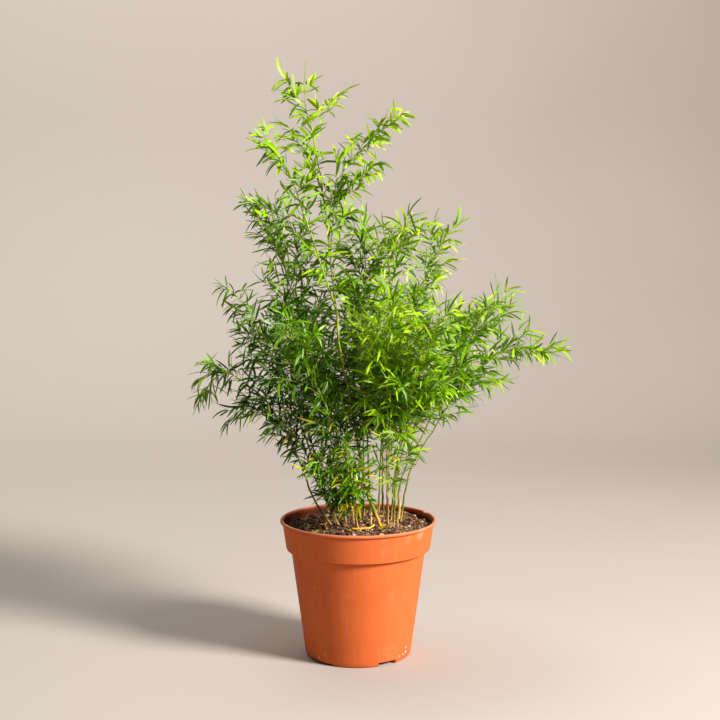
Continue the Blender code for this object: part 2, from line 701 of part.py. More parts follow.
def make_leafy_stems(collection):
    """Grows every stem with its sprays and cladodes, and returns the feet that stand in the soil."""
    room = Room()
    stems = leafy_stems()
    for node, plan, route in stems:
        room.take(node, route, plan.get("foot_r", STEM_FOOT_R))
    grown = []
    for node, plan, route in stems:
        grown.append((node, plan, route, spray_routes(node, plan, route, room)))
    feet = {}
    objects = {}
    for node, plan, route, sprays in grown:
        pieces = new_collection(f"{node} pieces")
        for number, spray in enumerate(sprays):
            spray_solid(f"{node} spray {number}", spray, pieces)
            for blade in blade_routes(node, f"{node} {plan['fill']} {number}", spray, room):
                blade_solid(f"{node} blade", blade, pieces)
        tip, ahead = along(route, 1)
        blade = [tip + ahead * TIP_BLADE_L * share for share in (-0.2, 0.4, 1)]
        blade_solid(f"{node} tip", blade, pieces)
        if node in objects:
            rod(f"{node} bough", route, np.linspace(STEM_FOOT_R, STEM_TIP_R, len(route)), pieces)
            objects[node] = join(objects[node], pieces)
        else:
            foot_r = plan.get("foot_r", STEM_FOOT_R)
            buried = rooted(route, ROOTED)
            stem = rod(node, buried, stem_radii(len(buried), foot_r), collection)
            feet[node] = (buried, foot_r)
            objects[node] = join(stem, pieces)
    for node, obj in objects.items():
        finish(obj, "leaf green", LEAF_GREEN)
    return feet


def main():
    clear_scene()
    plant = new_collection("potted asparagus fern")
    feet = make_leafy_stems(plant) | make_dry_pieces(plant)
    make_soil(feet, plant)
    make_pot(plant)
    for obj in plant.objects:
        obj.location = (-FOOTPRINT_MIDDLE[0], -FOOTPRINT_MIDDLE[1], 0)


main()
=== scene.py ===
"""The looks of a potted asparagus fern: fine leafy stems, compost with its litter, and a plastic pot.

Metres, +Z up, -Y faces the viewer. Places are written from the middle of the pot's foot, as in the CAD, and
each finished piece is then moved to the frame, whose origin is the middle of the plant's footprint.
"""

import json
import random
from functools import partialmethod
from math import cos, hypot, pi, radians, sin, sqrt, tau

import bmesh
import bpy
import numpy as np
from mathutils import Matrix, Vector, noise

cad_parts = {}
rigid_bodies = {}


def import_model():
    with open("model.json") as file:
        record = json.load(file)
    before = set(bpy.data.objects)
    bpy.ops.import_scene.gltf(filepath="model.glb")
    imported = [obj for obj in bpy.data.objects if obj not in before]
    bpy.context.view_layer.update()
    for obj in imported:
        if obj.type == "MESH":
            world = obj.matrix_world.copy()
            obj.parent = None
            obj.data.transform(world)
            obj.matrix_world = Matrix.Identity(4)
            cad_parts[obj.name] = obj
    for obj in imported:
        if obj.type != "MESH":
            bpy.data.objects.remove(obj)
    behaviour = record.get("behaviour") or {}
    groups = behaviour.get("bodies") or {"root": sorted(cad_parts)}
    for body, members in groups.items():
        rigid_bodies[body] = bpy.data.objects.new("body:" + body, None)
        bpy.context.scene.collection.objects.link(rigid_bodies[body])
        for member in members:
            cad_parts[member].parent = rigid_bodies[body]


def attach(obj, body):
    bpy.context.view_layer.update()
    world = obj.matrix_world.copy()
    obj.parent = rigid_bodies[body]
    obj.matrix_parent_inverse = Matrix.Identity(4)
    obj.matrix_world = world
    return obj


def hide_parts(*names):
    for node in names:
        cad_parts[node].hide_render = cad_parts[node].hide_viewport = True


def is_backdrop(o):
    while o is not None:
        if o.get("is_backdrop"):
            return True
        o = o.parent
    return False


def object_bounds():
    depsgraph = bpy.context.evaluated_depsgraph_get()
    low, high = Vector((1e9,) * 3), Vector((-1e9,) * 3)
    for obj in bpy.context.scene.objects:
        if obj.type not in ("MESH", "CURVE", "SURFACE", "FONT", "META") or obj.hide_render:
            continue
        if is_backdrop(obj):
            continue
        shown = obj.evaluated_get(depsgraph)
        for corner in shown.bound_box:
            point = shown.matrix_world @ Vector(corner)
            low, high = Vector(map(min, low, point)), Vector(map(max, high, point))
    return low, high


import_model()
CAD_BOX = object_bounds()

# The CAD's driving dimensions
FOOTPRINT_MIDDLE = (0.0197, 0.0160)
RIM_R = 0.075
POT_H = 0.131
BEAD_H = 0.003
BEAD_CORNER = 0.0008
BEAD_W = 0.0029
COLLAR_TOP_R = 0.0728
COLLAR_LOW_R = 0.0692
COLLAR_LOW_Z = 0.1034
STEP_H = 0.0012
STEP_CORNER = 0.0004
STEP_TOP = COLLAR_LOW_Z + 0.0014
BODY_TOP_R = 0.0645
BODY_LOW_R = 0.0514
WALL = 0.0017
FOOT_R = 0.0490
FOOT_IN_R = 0.0465
FLOOR_Z = 0.0048
FLOOR_T = 0.0019
FLOOR_TOP = FLOOR_Z + FLOOR_T
EDGE_H = 0.0050
FOOT_CORNER = 0.0012
MOUTH_DROP = 0.0004
DRAIN_R = 0.0040
DRAIN_AT_R = 0.0375
DRAINS_FROM = -46
# Cuts in the pot: the angle from +X and the span in degrees, and the height or the depth
FOOT_NOTCHES = ((-57, 22, 0.0043), (-141, 46, 0.0020), (123, 22, 0.0043), (39, 46, 0.0020))
RIM_NICK = (24, 6, 0.0009)
# Marks on the pot: the angle from +X, the height and the radius, and for a scuff or painted highlight how
# strong it is. The pale spots high on the collar at the right are painted highlights.
SPLASHES = ((-29.5, 0.0080, 0.0013), (-34.7, 0.0068, 0.0010), (-41, 0.0062, 0.0008), (-30, 0.0122, 0.0009),
            (-135.6, 0.0056, 0.0009))
SCUFFS_AND_HIGHLIGHTS = ((-37, 0.1268, 0.0080, 0.26), (-71, 0.1251, 0.0030, 0.10), (-71.5, 0.1165, 0.0040, 0.07),
          (-70.5, 0.1130, 0.0040, 0.06), (-127, 0.0107, 0.0028, 0.20), (-50, 0.1235, 0.0060, 0.07))
SOIL_Z = 0.1256
SOIL_FALL = 0.0034
GAP = 0.00035
STEM_TIP_R = 0.00050
ROOTED = 0.026

# The CAD's leafy stems, with their lengths in millimetres. route is the stem's line. Each of the tips holds
# the share of the way up the stem where a spray starts, and the place where it ends. The other sprays start
# from the share leafy: bush is how close they stand, reach how long they are, sag how far they sink, and deep
# how far they reach to the front and the back. tone is how young and pale the blades are, and it also holds
# painted shade: it is set low on the stems at the shaded left and back. fade is how much paler the blades get
# toward the stem's tip, which on the left stems also paints their lower blades darker as shade. droop is how
# far they hang, crowd how many there are, size and wide their length and width, and yellow how often one has
# yellowed. Left of lime, many are lime green. foot_r is the stem's radius at its foot, dry the height above
# the soil to which it is straw, and fresh how lime it is.
USUAL = dict(foot_r=1.05, fade=.22, dry=3.9, fresh=.15, sag=.12, deep=1, droop=.15, crowd=1, size=1, wide=1,
             yellow=1, lime=-1000)
STEMS = {
    "tall_frond": dict(
        foot_r=1.8, tone=.79, dry=13, fresh=1, bush=.36, leafy=.52, reach=26, deep=1.2, droop=.3, crowd=.72,
        size=1.06, wide=1.25,
        route=((22, -15, 125), (8, -16, 162), (0, -14, 205), (-9, -10, 255), (-17, -5, 292), (-20.5, 0, 330),
               (-24, 3, 357), (-27, 6, 386), (-31.5, 9, 427), (-37.5, 12, 468), (-44.5, 14, 506),
               (-49, 14, 518), (-58, 14, 530), (-65, 13, 543)),
        tips=((.955, -80, 12, 561), (.6, -4, 10, 412), (.7, -10, 0, 462), (.775, -77, 22, 515),
              (.9, -7, 10, 543), (.96, -50, 22, 558))),
    "upper_left": dict(
        tone=.62, dry=3.3, fresh=.2, bush=1, leafy=.4, reach=50, deep=1.4, droop=.28, size=1.06,
        route=((-12, 9, 125), (-22, 16, 214), (-48, 22, 300), (-65, 22, 352), (-80, 18, 392),
               (-106, 14, 407)),
        tips=((.88, -114, 10, 443), (.52, -34, 24, 322), (.45, -22, 30, 300), (.6, -30, 34, 345),
              (.7, -36, 30, 385), (.62, -101, 6, 366), (.74, -52, 30, 420), (.86, -76, 2, 428))),
    "left_high": dict(
        tone=.3, fade=.5, bush=1, leafy=.34, reach=33, deep=1.4, droop=.28, size=.96, wide=.92,
        route=((-22, 6, 125), (-37, 4, 167), (-52, 0, 214), (-74, -6, 271), (-96, -10, 321),
               (-117, -10, 348), (-138, -6, 359)),
        tips=((.6, -50, 16, 330), (.68, -62, 12, 352), (.42, -40, 14, 262), (.5, -48, 10, 300),
              (.55, -120, -30, 296), (.66, -126, 12, 318), (.76, -123, -26, 340))),
    "left_arching": dict(
        tone=.36, fade=.9, bush=1.1, leafy=.36, reach=36, sag=-.02, deep=1.4, droop=.32, size=.98, wide=.86,
        lime=-136,
        route=((-26, 0, 125), (-42, -6, 150), (-53, -10, 181), (-66, -12, 214), (-91, -14, 250),
               (-123, -14, 273), (-145, -12, 270), (-158, -10, 256)),
        tips=((.62, -127, -36, 236), (.8, -155, 6, 283), (.88, -157, -20, 226))),
    "left_low": dict(
        tone=.28, bush=1.15, leafy=.34, reach=30, sag=-.25, droop=.28, size=.92, wide=.9,
        route=((-18, -6, 125), (-38, -16, 167), (-53, -24, 205), (-79, -30, 235), (-107, -34, 241),
               (-129, -34, 222)),
        tips=((.52, -66, -40, 190), (.66, -91, -56, 216), (.78, -112, -18, 226))),
    "low_left_front": dict(
        tone=.44, dry=5.5, fresh=.3, bush=3.3, leafy=.2, reach=30, sag=-.15, droop=.28, crowd=1.25, size=.92,
        wide=.88, yellow=1.3,
        route=((-10, -14, 125), (-22, -24, 158), (-32, -38, 186), (-46, -50, 203)),
        tips=((.25, -34, -40, 150), (.2, -16, -42, 146), (.4, -50, -36, 158), (.62, -14, -58, 192),
              (.75, -62, -62, 186))),
    "low_front": dict(
        tone=.51, dry=6.6, fresh=.35, bush=4.4, leafy=.24, reach=36, droop=.28, crowd=1.3, size=.9, wide=.88,
        yellow=1.9,
        route=((0, -18, 125), (-6, -30, 162), (-8, -44, 196), (-14, -56, 222)),
        tips=((.22, -4, -40, 150), (.18, 12, -36, 150), (.3, -30, -40, 165), (.52, -36, -56, 190),
              (.42, 10, -50, 160), (.64, 16, -60, 205), (.5, 22, -50, 184), (.36, 14, -46, 172))),
    "centre": dict(
        tone=.7, dry=5.5, fresh=.3, bush=1.9, leafy=.28, reach=50, deep=1.4,
        route=((12, 6, 125), (10, 6, 180), (7, 10, 243), (4, 12, 309), (7, 12, 366), (4, 10, 424)),
        tips=((.42, -28, 26, 262), (.49, -32, 22, 298), (.58, -36, 30, 335), (.68, -32, 16, 368),
              (.8, -28, 24, 405), (.9, -18, 20, 438), (.82, 36, 24, 404))),
    "dome_left": dict(
        tone=.82, fresh=.5, bush=1.6, leafy=.28, reach=48, deep=1.4, droop=.12, wide=.98,
        route=((24, 28, 125), (24, 26, 196), (24, 20, 262), (28, 10, 328), (37, 2, 380), (44, -4, 411),
               (50, -8, 432)),
        tips=((.15, 46, 20, 196), (.21, 4, 30, 214), (.76, 19, -26, 418), (.84, 73, -14, 419))),
    "dome_right": dict(
        tone=.82, dry=4.4, fresh=.65, bush=1.35, leafy=.32, reach=38, deep=1.4, droop=.12, size=.92,
        wide=.98,
        route=((28, 22, 125), (31, 28, 205), (40, 32, 271), (54, 32, 333), (70, 30, 373), (87, 26, 404),
               (102, 22, 421)),
        tips=((.68, 84, 6, 366), (.78, 97, 10, 382), (.84, 70, 34, 424))),
    "right_high": dict(
        tone=.7, dry=3.3, fresh=.6, bush=1.4, leafy=.42, reach=44, deep=1.4, droop=.08,
        route=((38, 8, 125), (42, 6, 169), (63, 0, 215), (80, -4, 252), (101, -8, 290), (123, -10, 326),
               (145, -10, 359)),
        tips=((.62, 106, -20, 342), (.74, 128, 14, 350), (.84, 162, -14, 331))),
    "right_arching": dict(
        tone=.72, dry=5, fresh=.6, bush=1.1, leafy=.42, reach=42, deep=1.4, droop=.1, crowd=.8, size=.96,
        wide=.9,
        route=((41, 14, 125), (51, 12, 177), (73, 10, 216), (92, 8, 248), (120, 6, 279), (148, 4, 295),
               (174, 2, 293), (202, 0, 299)),
        tips=((.58, 150, -24, 262), (.66, 179, 14, 315), (.8, 200, -10, 283))),
    "right_low": dict(
        tone=.68, fresh=.6, bush=1.2, leafy=.45, reach=34, sag=-.35, droop=.05,
        route=((32, 18, 125), (37, 26, 177), (51, 34, 219), (77, 40, 250), (110, 44, 264), (139, 44, 248)),
        tips=((.42, 80, 30, 226), (.7, 109, 20, 240))),
    "front_right": dict(
        tone=.74, dry=4.4, fresh=.6, bush=1.4, leafy=.38, reach=54, sag=-.3,
        route=((34, -4, 125), (36, -12, 177), (42, -24, 224), (55, -46, 276), (70, -64, 316),
               (86, -78, 343)),
        tips=((.2, 62, -26, 212), (.56, 96, -70, 262), (.78, 56, -94, 338))),
    "front_centre": dict(
        tone=.76, dry=85, bush=1.3, leafy=.3, reach=54, sag=-.3, wide=.88,
        route=((29, 3, 125), (27, -17, 190), (26, -40, 262), (28, -66, 318), (34, -92, 360)),
        tips=((.14, 50, -26, 186), (.2, 10, -40, 200), (.24, 52, -30, 222), (.7, -8, -86, 326))),
    "front_left": dict(
        tone=.4, fade=.5, bush=1.4, leafy=.28, reach=54, sag=-.3, droop=.24, wide=.9,
        route=((-12, -4, 125), (-22, -26, 214), (-40, -54, 271), (-56, -78, 307), (-72, -96, 330)),
        tips=((.62, -94, -82, 274), (.8, -34, -104, 322))),
    "back_right": dict(
        tone=.5, bush=1.3, leafy=.45, reach=54, sag=-.3,
        route=((20, 38, 125), (26, 58, 224), (44, 88, 290), (68, 116, 341)),
        tips=((.66, 80, 86, 284), (.8, 30, 116, 346))),
    "back_left": dict(
        tone=.32, bush=1.3, leafy=.36, reach=54, sag=-.3, droop=.2,
        route=((-6, 34, 125), (-20, 60, 224), (-44, 90, 290), (-66, 114, 341)),
        tips=((.64, -86, 92, 286), (.8, -36, 118, 350))),
    "back_centre": dict(
        tone=.38, bush=1.3, leafy=.38, reach=54, sag=-.3,
        route=((6, 40, 125), (4, 66, 230), (-2, 98, 305), (-6, 124, 362)),
        tips=((.62, 10, 128, 290),)),
    "left_back": dict(
        tone=.26, bush=1, leafy=.36, reach=48, droop=.3,
        route=((-24, 18, 125), (-40, 30, 180), (-58, 44, 234), (-86, 60, 284), (-110, 70, 312)),
        tips=((.6, -120, 50, 262), (.82, -90, 84, 330))),
    "right_back": dict(
        tone=.6, dry=4.4, fresh=.5, bush=1.2, leafy=.45, reach=44, sag=-.1,
        route=((34, 30, 125), (44, 44, 190), (66, 56, 244), (98, 70, 300), (128, 78, 330)),
        tips=((.58, 126, 56, 270), (.82, 104, 88, 342))),
}
BOUGHS_OF = "tall_frond"
BOUGHS = (
    dict(foot_r=.8, tone=.82, dry=0, bush=.36, leafy=.2, reach=24, droop=.28, crowd=.9, size=.98, wide=1.3,
         route=((-26.2, 4, 383), (-24.5, 2, 408), (-22.5, 0, 433), (-20.5, -2, 460), (-20.2, -3, 482)),
         tips=((.22, 10, -2, 430), (.5, 33, -10, 475), (.8, 57.5, -5, 518))),
    dict(tone=.76, dry=0, bush=.42, leafy=.22, reach=30, droop=.34, crowd=.8, size=1.02, wide=1.2,
         route=((-19.5, 0, 328), (-28, -4, 353), (-36.5, -7, 379), (-43, -10, 400), (-52.5, -10, 427),
                (-63.5, -8, 458), (-75.5, -4, 476), (-83, 0, 490)),
         tips=((.32, -111, 4, 439), (.62, -37, -24, 478), (.84, -107, 4, 490), (.93, -92.5, 4, 514))),
)

# The dry pieces of the CAD in millimetres: the lines of those that lie, and each stub's foot, top, height and
# radius
FORK_STALK = ((-29.6, -30), (-31.1, -17.8), (-32, -7.5))
FORK_ARMS = (((-32, -7.5), (-34.2, -8), (-36.8, -9.2)), ((-32, -7.5), (-30.6, -1), (-28.8, 6.2)))
FALLEN_STEM = ((-5.6, -28), (.2, -26.2), (5.6, -22.6), (11.2, -19.6), (16.8, -12))
STUBS = {
    "dry_stub_1": (40, 25, 40.8, 24.6, 18, 1.2),
    "dry_stub_2": (-4.5, -2.6, -5.5, -2.2, 13, 1.3),
    "dry_stub_3": (-15, 17.5, -15.8, 19, 9, 1.1),
    "dry_stub_4": (12, -3, 12.4, -4, 12, 1.1),
}
STUB_ROOTED = 0.012
FALLEN_RISE = 0.0020
DRY_R = 0.0010
DRY_LIFT = 0.0007

# Fine growth
POINT_EVERY = 0.0045
SPRAY_EVERY = 0.0066
NODE_EVERY = 0.0048
STEM_NODE_EVERY = 0.0078
BRANCHLET_EVERY = 0.011
BRANCHLET_FROM = 0.022
BRANCHLET_LEAST = 0.010
FIRST_BLADE = 0.004
LAST_BLADE = 0.0180
STEM_WAVER = 0.00025
SPRAY_WAVER = 0.00022
SPRAY_R = 0.00048
BRANCHLET_R = 0.00034
SPRAY_TIP_R = 0.00022
DRY_FADE = 0.008
STEM_SIDES = 10
SPRAY_SIDES = 6
POT_STEPS = 192
POT_SHARP = 40
SOIL_STEPS = 360
SOIL_RINGS = 104
GOLDEN_TURN = radians(137.5)
# How far blades and sprays keep off the rim and the soil, and how far below the rim they hang outside it
CLEAR = 0.004
HANG = 0.01
BLADE_LENGTHS = (0.0145, 0.0270)
BLADE_WIDTHS = (0.0015, 0.0028)
BLADE_T = 0.00042
BLADE_RINGS = (0.05, 0.22, 0.46, 0.70, 0.89)
BLADE_SHAPE = (0.42, 0.88, 1.0, 0.92, 0.56)
# The way that most blades' faces look: up, and out to the light
FACING = np.array((0.30, -0.42, 0.62))
# The share of blades that have yellowed, below and above a height
YELLOW_BELOW = 0.24
YELLOW_LOW = 0.090
YELLOW_HIGH = 0.003
# The share of blades that are lime green at the end of a stem with a lime place, and their age
LIME_SHARE = 0.5
LIME_AGE = 0.74
# The heights over which the tall stem stays in view, how far to each side, half of that lower down, and the
# share of the blades in front of it that are left out
OPEN_HEIGHTS = (0.128, 0.345)
OPEN_SIDE = 0.0040
OPEN_WIDE_FROM = 0.235
OPEN_SHARE = 0.88

# How many pieces of litter are tried
CRUMBS = 1150
FIBRES = 330
FALLEN_BLADES = 105

# Camera: its place and tilt, and the lens on a 36 mm sensor
CAMERA_AT = (0.0017, -1.184, 0.392)
CAMERA_TILT = 0.091
LENS = 62.5
SENSOR = 36.0

UP = np.array((0.0, 0.0, 1.0))


# Shapes

def unit(v):
    return v / max(np.linalg.norm(v), 1e-12)


def units(v):
    return v / np.maximum(np.linalg.norm(v, axis=-1, keepdims=True), 1e-12)


def square(v, line):
    """What is left of v at right angles to a line of length 1."""
    return v - line * (v * line).sum(-1, keepdims=True)


def metres(millimetres):
    """A length, a point or a line in metres, to the nearest micrometre."""
    return np.round(np.array(millimetres) / 1000, 6)


def smooth(points, count):
    """count + 1 points at even distances along a Catmull-Rom curve through the given points."""
    p = np.array(points, float)
    p = np.vstack([2 * p[0] - p[1], p, 2 * p[-1] - p[-2]])
    fine = []
    for a, b, c, d in zip(p, p[1:], p[2:], p[3:]):
        for t in np.arange(0, 1, 1 / 16):
            fine.append(0.5 * (2 * b + (c - a) * t + (2 * a - 5 * b + 4 * c - d) * t ** 2
                               + (3 * b - a - 3 * c + d) * t ** 3))
    return evenly(np.array(fine + [p[-2]]), count)


def evenly(points, count):
    run = lengths_along(points)
    at = np.linspace(0, run[-1], count + 1)
    return np.stack([np.interp(at, run, points[:, k]) for k in range(3)], 1)


def lengths_along(points):
    return np.concatenate([[0], np.cumsum(np.linalg.norm(np.diff(points, axis=0), axis=1))])


def along(route, share):
    """The point and the direction at a share of a route's length."""
    run = lengths_along(route)
    at = min(max(share, 0), 1) * run[-1]
    i = min(max(int(np.searchsorted(run, at)) - 1, 0), len(route) - 2)
    ahead = unit(route[i + 1] - route[i])
    return route[i] + ahead * (at - run[i]), ahead


def across(direction):
    """Two directions at right angles to this one, the first of them level."""
    side = unit(np.cross(direction, (0, 0, 1)) + 1e-9)
    return side, np.cross(side, direction)


def leaning(ahead, turn, lean):
    """The direction at the angle lean from this one, turned round it by the angle turn."""
    side, up = across(ahead)
    return ahead * cos(lean) + (side * cos(turn) + up * sin(turn)) * sin(lean)


def arc(start, ahead, tip, count):
    """A spray's line from start to tip, on a parabola that leaves a little towards ahead and upwards."""
    span = np.linalg.norm(tip - start)
    middle = start + (tip - start) * 0.45 + ahead * span * 0.16 + UP * (0.10 * span)
    t = np.linspace(0, 1, count + 1)[:, None]
    return start * (1 - t) ** 2 + middle * 2 * t * (1 - t) + tip * t ** 2


def around(steps):
    """Angles at even distances round a full turn."""
    return np.linspace(0, tau, steps, endpoint=False)


def add_object(name, data):
    obj = bpy.data.objects.new(name, data)
    bpy.context.scene.collection.objects.link(obj)
    return obj


def tint_rows(count, *columns):
    """A tint for each of count points. A column is one number, or one for each point."""
    return np.column_stack([np.full(count, column, float) for column in columns])


def ring_faces(rings, sides):
    """The quads between rings of points, and the fans to the two points at the ends, which come last."""
    j = np.arange(sides)
    n = (j + 1) % sides
    quads = np.concatenate([np.stack([j, n, sides + n, sides + j], 1) + k * sides for k in range(rings - 1)])
    last = (rings - 1) * sides
    end = np.full(sides, rings * sides)
    return [quads, np.concatenate([np.stack([end, n, j], 1), np.stack([end + 1, last + j, last + n], 1)])]


class Body:
    """Vertices, faces, tints and material numbers that together make one mesh. A tint has four numbers, which
    each material names where it reads them."""

    def __init__(self):
        self.points, self.tints, self.loops, self.sizes, self.looks = [], [], [], [], []
        self.count = 0

    def add(self, points, faces, tints, look=0):
        """faces is a list of equal-length face arrays, one array for each number of corners."""
        self.points.append(points)
        self.tints.append(tints)
        for face in faces:
            self.loops.append((face + self.count).reshape(-1))
            self.sizes.append(np.full(len(face), face.shape[1]))
            self.looks.append(np.full(len(face), look))
        self.count += len(points)

    def mesh(self, name, materials, sharp=60):
        """The finished piece in the frame. sharp is the angle from which an edge stays sharp."""
        points = np.concatenate(self.points) - (*FOOTPRINT_MIDDLE, 0)
        tints, loops, sizes, looks = map(np.concatenate, (self.tints, self.loops, self.sizes, self.looks))
        starts = np.concatenate([[0], np.cumsum(sizes)[:-1]])
        mesh = bpy.data.meshes.new(name)
        mesh.vertices.add(len(points))
        mesh.vertices.foreach_set("co", points.reshape(-1).astype(np.float32))
        mesh.loops.add(len(loops))
        mesh.loops.foreach_set("vertex_index", loops.astype(np.int32))
        mesh.polygons.add(len(sizes))
        mesh.polygons.foreach_set("loop_start", starts.astype(np.int32))
        mesh.polygons.foreach_set("material_index", looks.astype(np.int32))
        for material in materials:
            mesh.materials.append(material)
        mesh.update(calc_edges=True)
        tint = mesh.color_attributes.new(name="tint", type="FLOAT_COLOR", domain="POINT")
        tint.data.foreach_set("color", tints.reshape(-1).astype(np.float32))
        mesh.validate()
        mesh.shade_smooth()
        mesh.set_sharp_from_angle(angle=radians(sharp))
        return add_object(name, mesh)


def add_tube(body, route, radii, sides, tints, look=0):
    """A round tube along a route, closed at both ends with a low point."""
    route = np.asarray(route, float)
    directions = units(np.gradient(route, axis=0))
    side = across(directions[0])[0]
    turn = around(sides)[:, None]
    rings = []
    for point, ahead, radius in zip(route, directions, radii):
        side = unit(side - ahead * (side @ ahead))
        rings.append(point + radius * (np.cos(turn) * side + np.sin(turn) * np.cross(ahead, side)))
    ends = (route[0] - directions[0] * radii[0] * 0.3, route[-1] + directions[-1] * radii[-1] * 0.8)
    tints = np.vstack([np.repeat(tints, sides, axis=0), tints[0], tints[-1]])
    body.add(np.vstack([*rings, *ends]), ring_faces(len(route), sides), tints, look)


def add_blades(body, blades):
    """Flat pointed cladodes with a keel and a shallow fold. blades holds one row for each: its root, the way
    it leaves, the way its face looks, how it bends, its length, width and twist, and its age and chance."""
    root, way, face, bend, sizes, age_and_chance = map(np.array, zip(*blades))
    way = units(way)
    face = units(square(face, way))
    bend = square(bend, way)
    length, width, twist = sizes[:, :1], sizes[:, 1:2], sizes[:, 2:]
    length = length / (1 + (bend * bend).sum(-1, keepdims=True) / 6)
    thick = BLADE_T * np.clip(width / 0.0024, 0.6, 1.2)
    rows = []
    run_and_edge = []
    for t, share in zip(BLADE_RINGS, BLADE_SHAPE):
        roll = twist * (t - 0.3)
        line = units(way + bend * t)
        f = units(square(face, line))
        s = np.cross(line, f)
        s, f = s * np.cos(roll) + f * np.sin(roll), f * np.cos(roll) - s * np.sin(roll)
        half = width * share / 2
        middle = root + length * (way * t + bend * t * t / 2)
        rows += [middle - s * half + f * half * 0.22, middle + f * thick * 0.42,
                 middle + s * half + f * half * 0.22, middle - f * thick * 0.58]
        run_and_edge += [(t, 1), (t, 0)] * 2
    rows += [root, root + length * (way + bend / 2)]
    run_and_edge += [(0, 0), (1, 0)]
    tints = np.empty((len(root), len(rows), 4))
    tints[..., 0::2] = age_and_chance[:, None]
    tints[..., 1::2] = run_and_edge
    first = (np.arange(len(root)) * len(rows))[:, None, None]
    faces = [(corners + first).reshape(-1, corners.shape[1]) for corners in ring_faces(len(BLADE_RINGS), 4)]
    body.add(np.stack(rows, 1).reshape(-1, 3), faces, tints.reshape(-1, 4))


# Growth

def offset(rng, spread):
    return np.array([rng.gauss(0, spread) for _ in range(3)])


def clear_of_pot(points):
    """Whether these points stay off the pot's rim and wall and out of the soil."""
    for x, y, z in points:
        reach = hypot(x, y)
        if reach >= RIM_R + CLEAR:
            lowest = POT_H - HANG
        else:
            lowest = CLEAR + (POT_H if reach > inner_wall(POT_H) - 0.003 else SOIL_Z)
        if z < lowest:
            return False
    return True


def in_front_of_tall_stem(point, end):
    """Whether a cladode would hang in front of the tall stem, which the photo shows in the open."""
    stem_x, stem_y, stem_z = metres(STEMS[BOUGHS_OF]["route"][:6]).T
    for x, y, z in (point, (point + end) / 2, end):
        side = OPEN_SIDE if z > OPEN_WIDE_FROM else OPEN_SIDE / 2
        beside = abs(x - np.interp(z, stem_z, stem_x)) < side
        if OPEN_HEIGHTS[0] < z < OPEN_HEIGHTS[1] and beside and y < np.interp(z, stem_z, stem_y) - 0.001:
            return True
    return False


def grow_blade(blades, rng, plan, point, ahead, turn, lean, tone, size):
    """One cladode that leaves a stalk at the angle lean, unless something is in its way."""
    droop = plan["droop"]
    way = unit(leaning(ahead, turn, lean) + UP * (rng.uniform(-1.1, 0.5) * droop))
    length = rng.uniform(*BLADE_LENGTHS) * size * plan["size"]
    width = rng.uniform(*BLADE_WIDTHS) * (0.70 + 0.30 * size) * plan["wide"]
    face = FACING + across(ahead)[1] * 0.25 + offset(rng, 0.55)
    sag = rng.uniform(0.3, 1.5) + droop * 1.5 if rng.random() < 0.78 else -rng.uniform(0.1, 1.0)
    bend = offset(rng, 0.38) - UP * sag
    end = point + way * length
    if not clear_of_pot((point, (point + end) / 2, end, end + bend * length / 2)):
        return
    if in_front_of_tall_stem(point, end) and rng.random() < OPEN_SHARE:
        return
    age = min(max(tone + rng.gauss(0, 0.11), 0), 1)
    chance = rng.random()
    yellow = YELLOW_LOW if point[2] < YELLOW_BELOW else YELLOW_HIGH
    if rng.random() < yellow * plan["yellow"]:
        age = rng.uniform(0.98, 1.22)
    if point[0] < metres(plan["lime"]) and chance < LIME_SHARE:
        age = LIME_AGE + 0.4 * chance
    blades.append((point, way, face, bend, (length, width, rng.gauss(0, 0.55)), (age, chance)))


def leaf_cluster(blades, rng, plan, point, ahead, turn, tone, size, lean):
    """One to three cladodes at one node of a stalk."""
    crowd = plan["crowd"]
    count = 1 + (rng.random() < 0.72 * crowd) + (rng.random() < 0.42 * crowd)
    for k in range(count):
        angle = turn + (0, pi, pi / 2 * rng.choice((-1, 1)))[k] + rng.gauss(0, 0.45)
        tilt = radians(lean + rng.gauss(0, 11))
        grow_blade(blades, rng, plan, point, ahead, angle, tilt, tone, size * (1, 0.94, 0.82)[k])


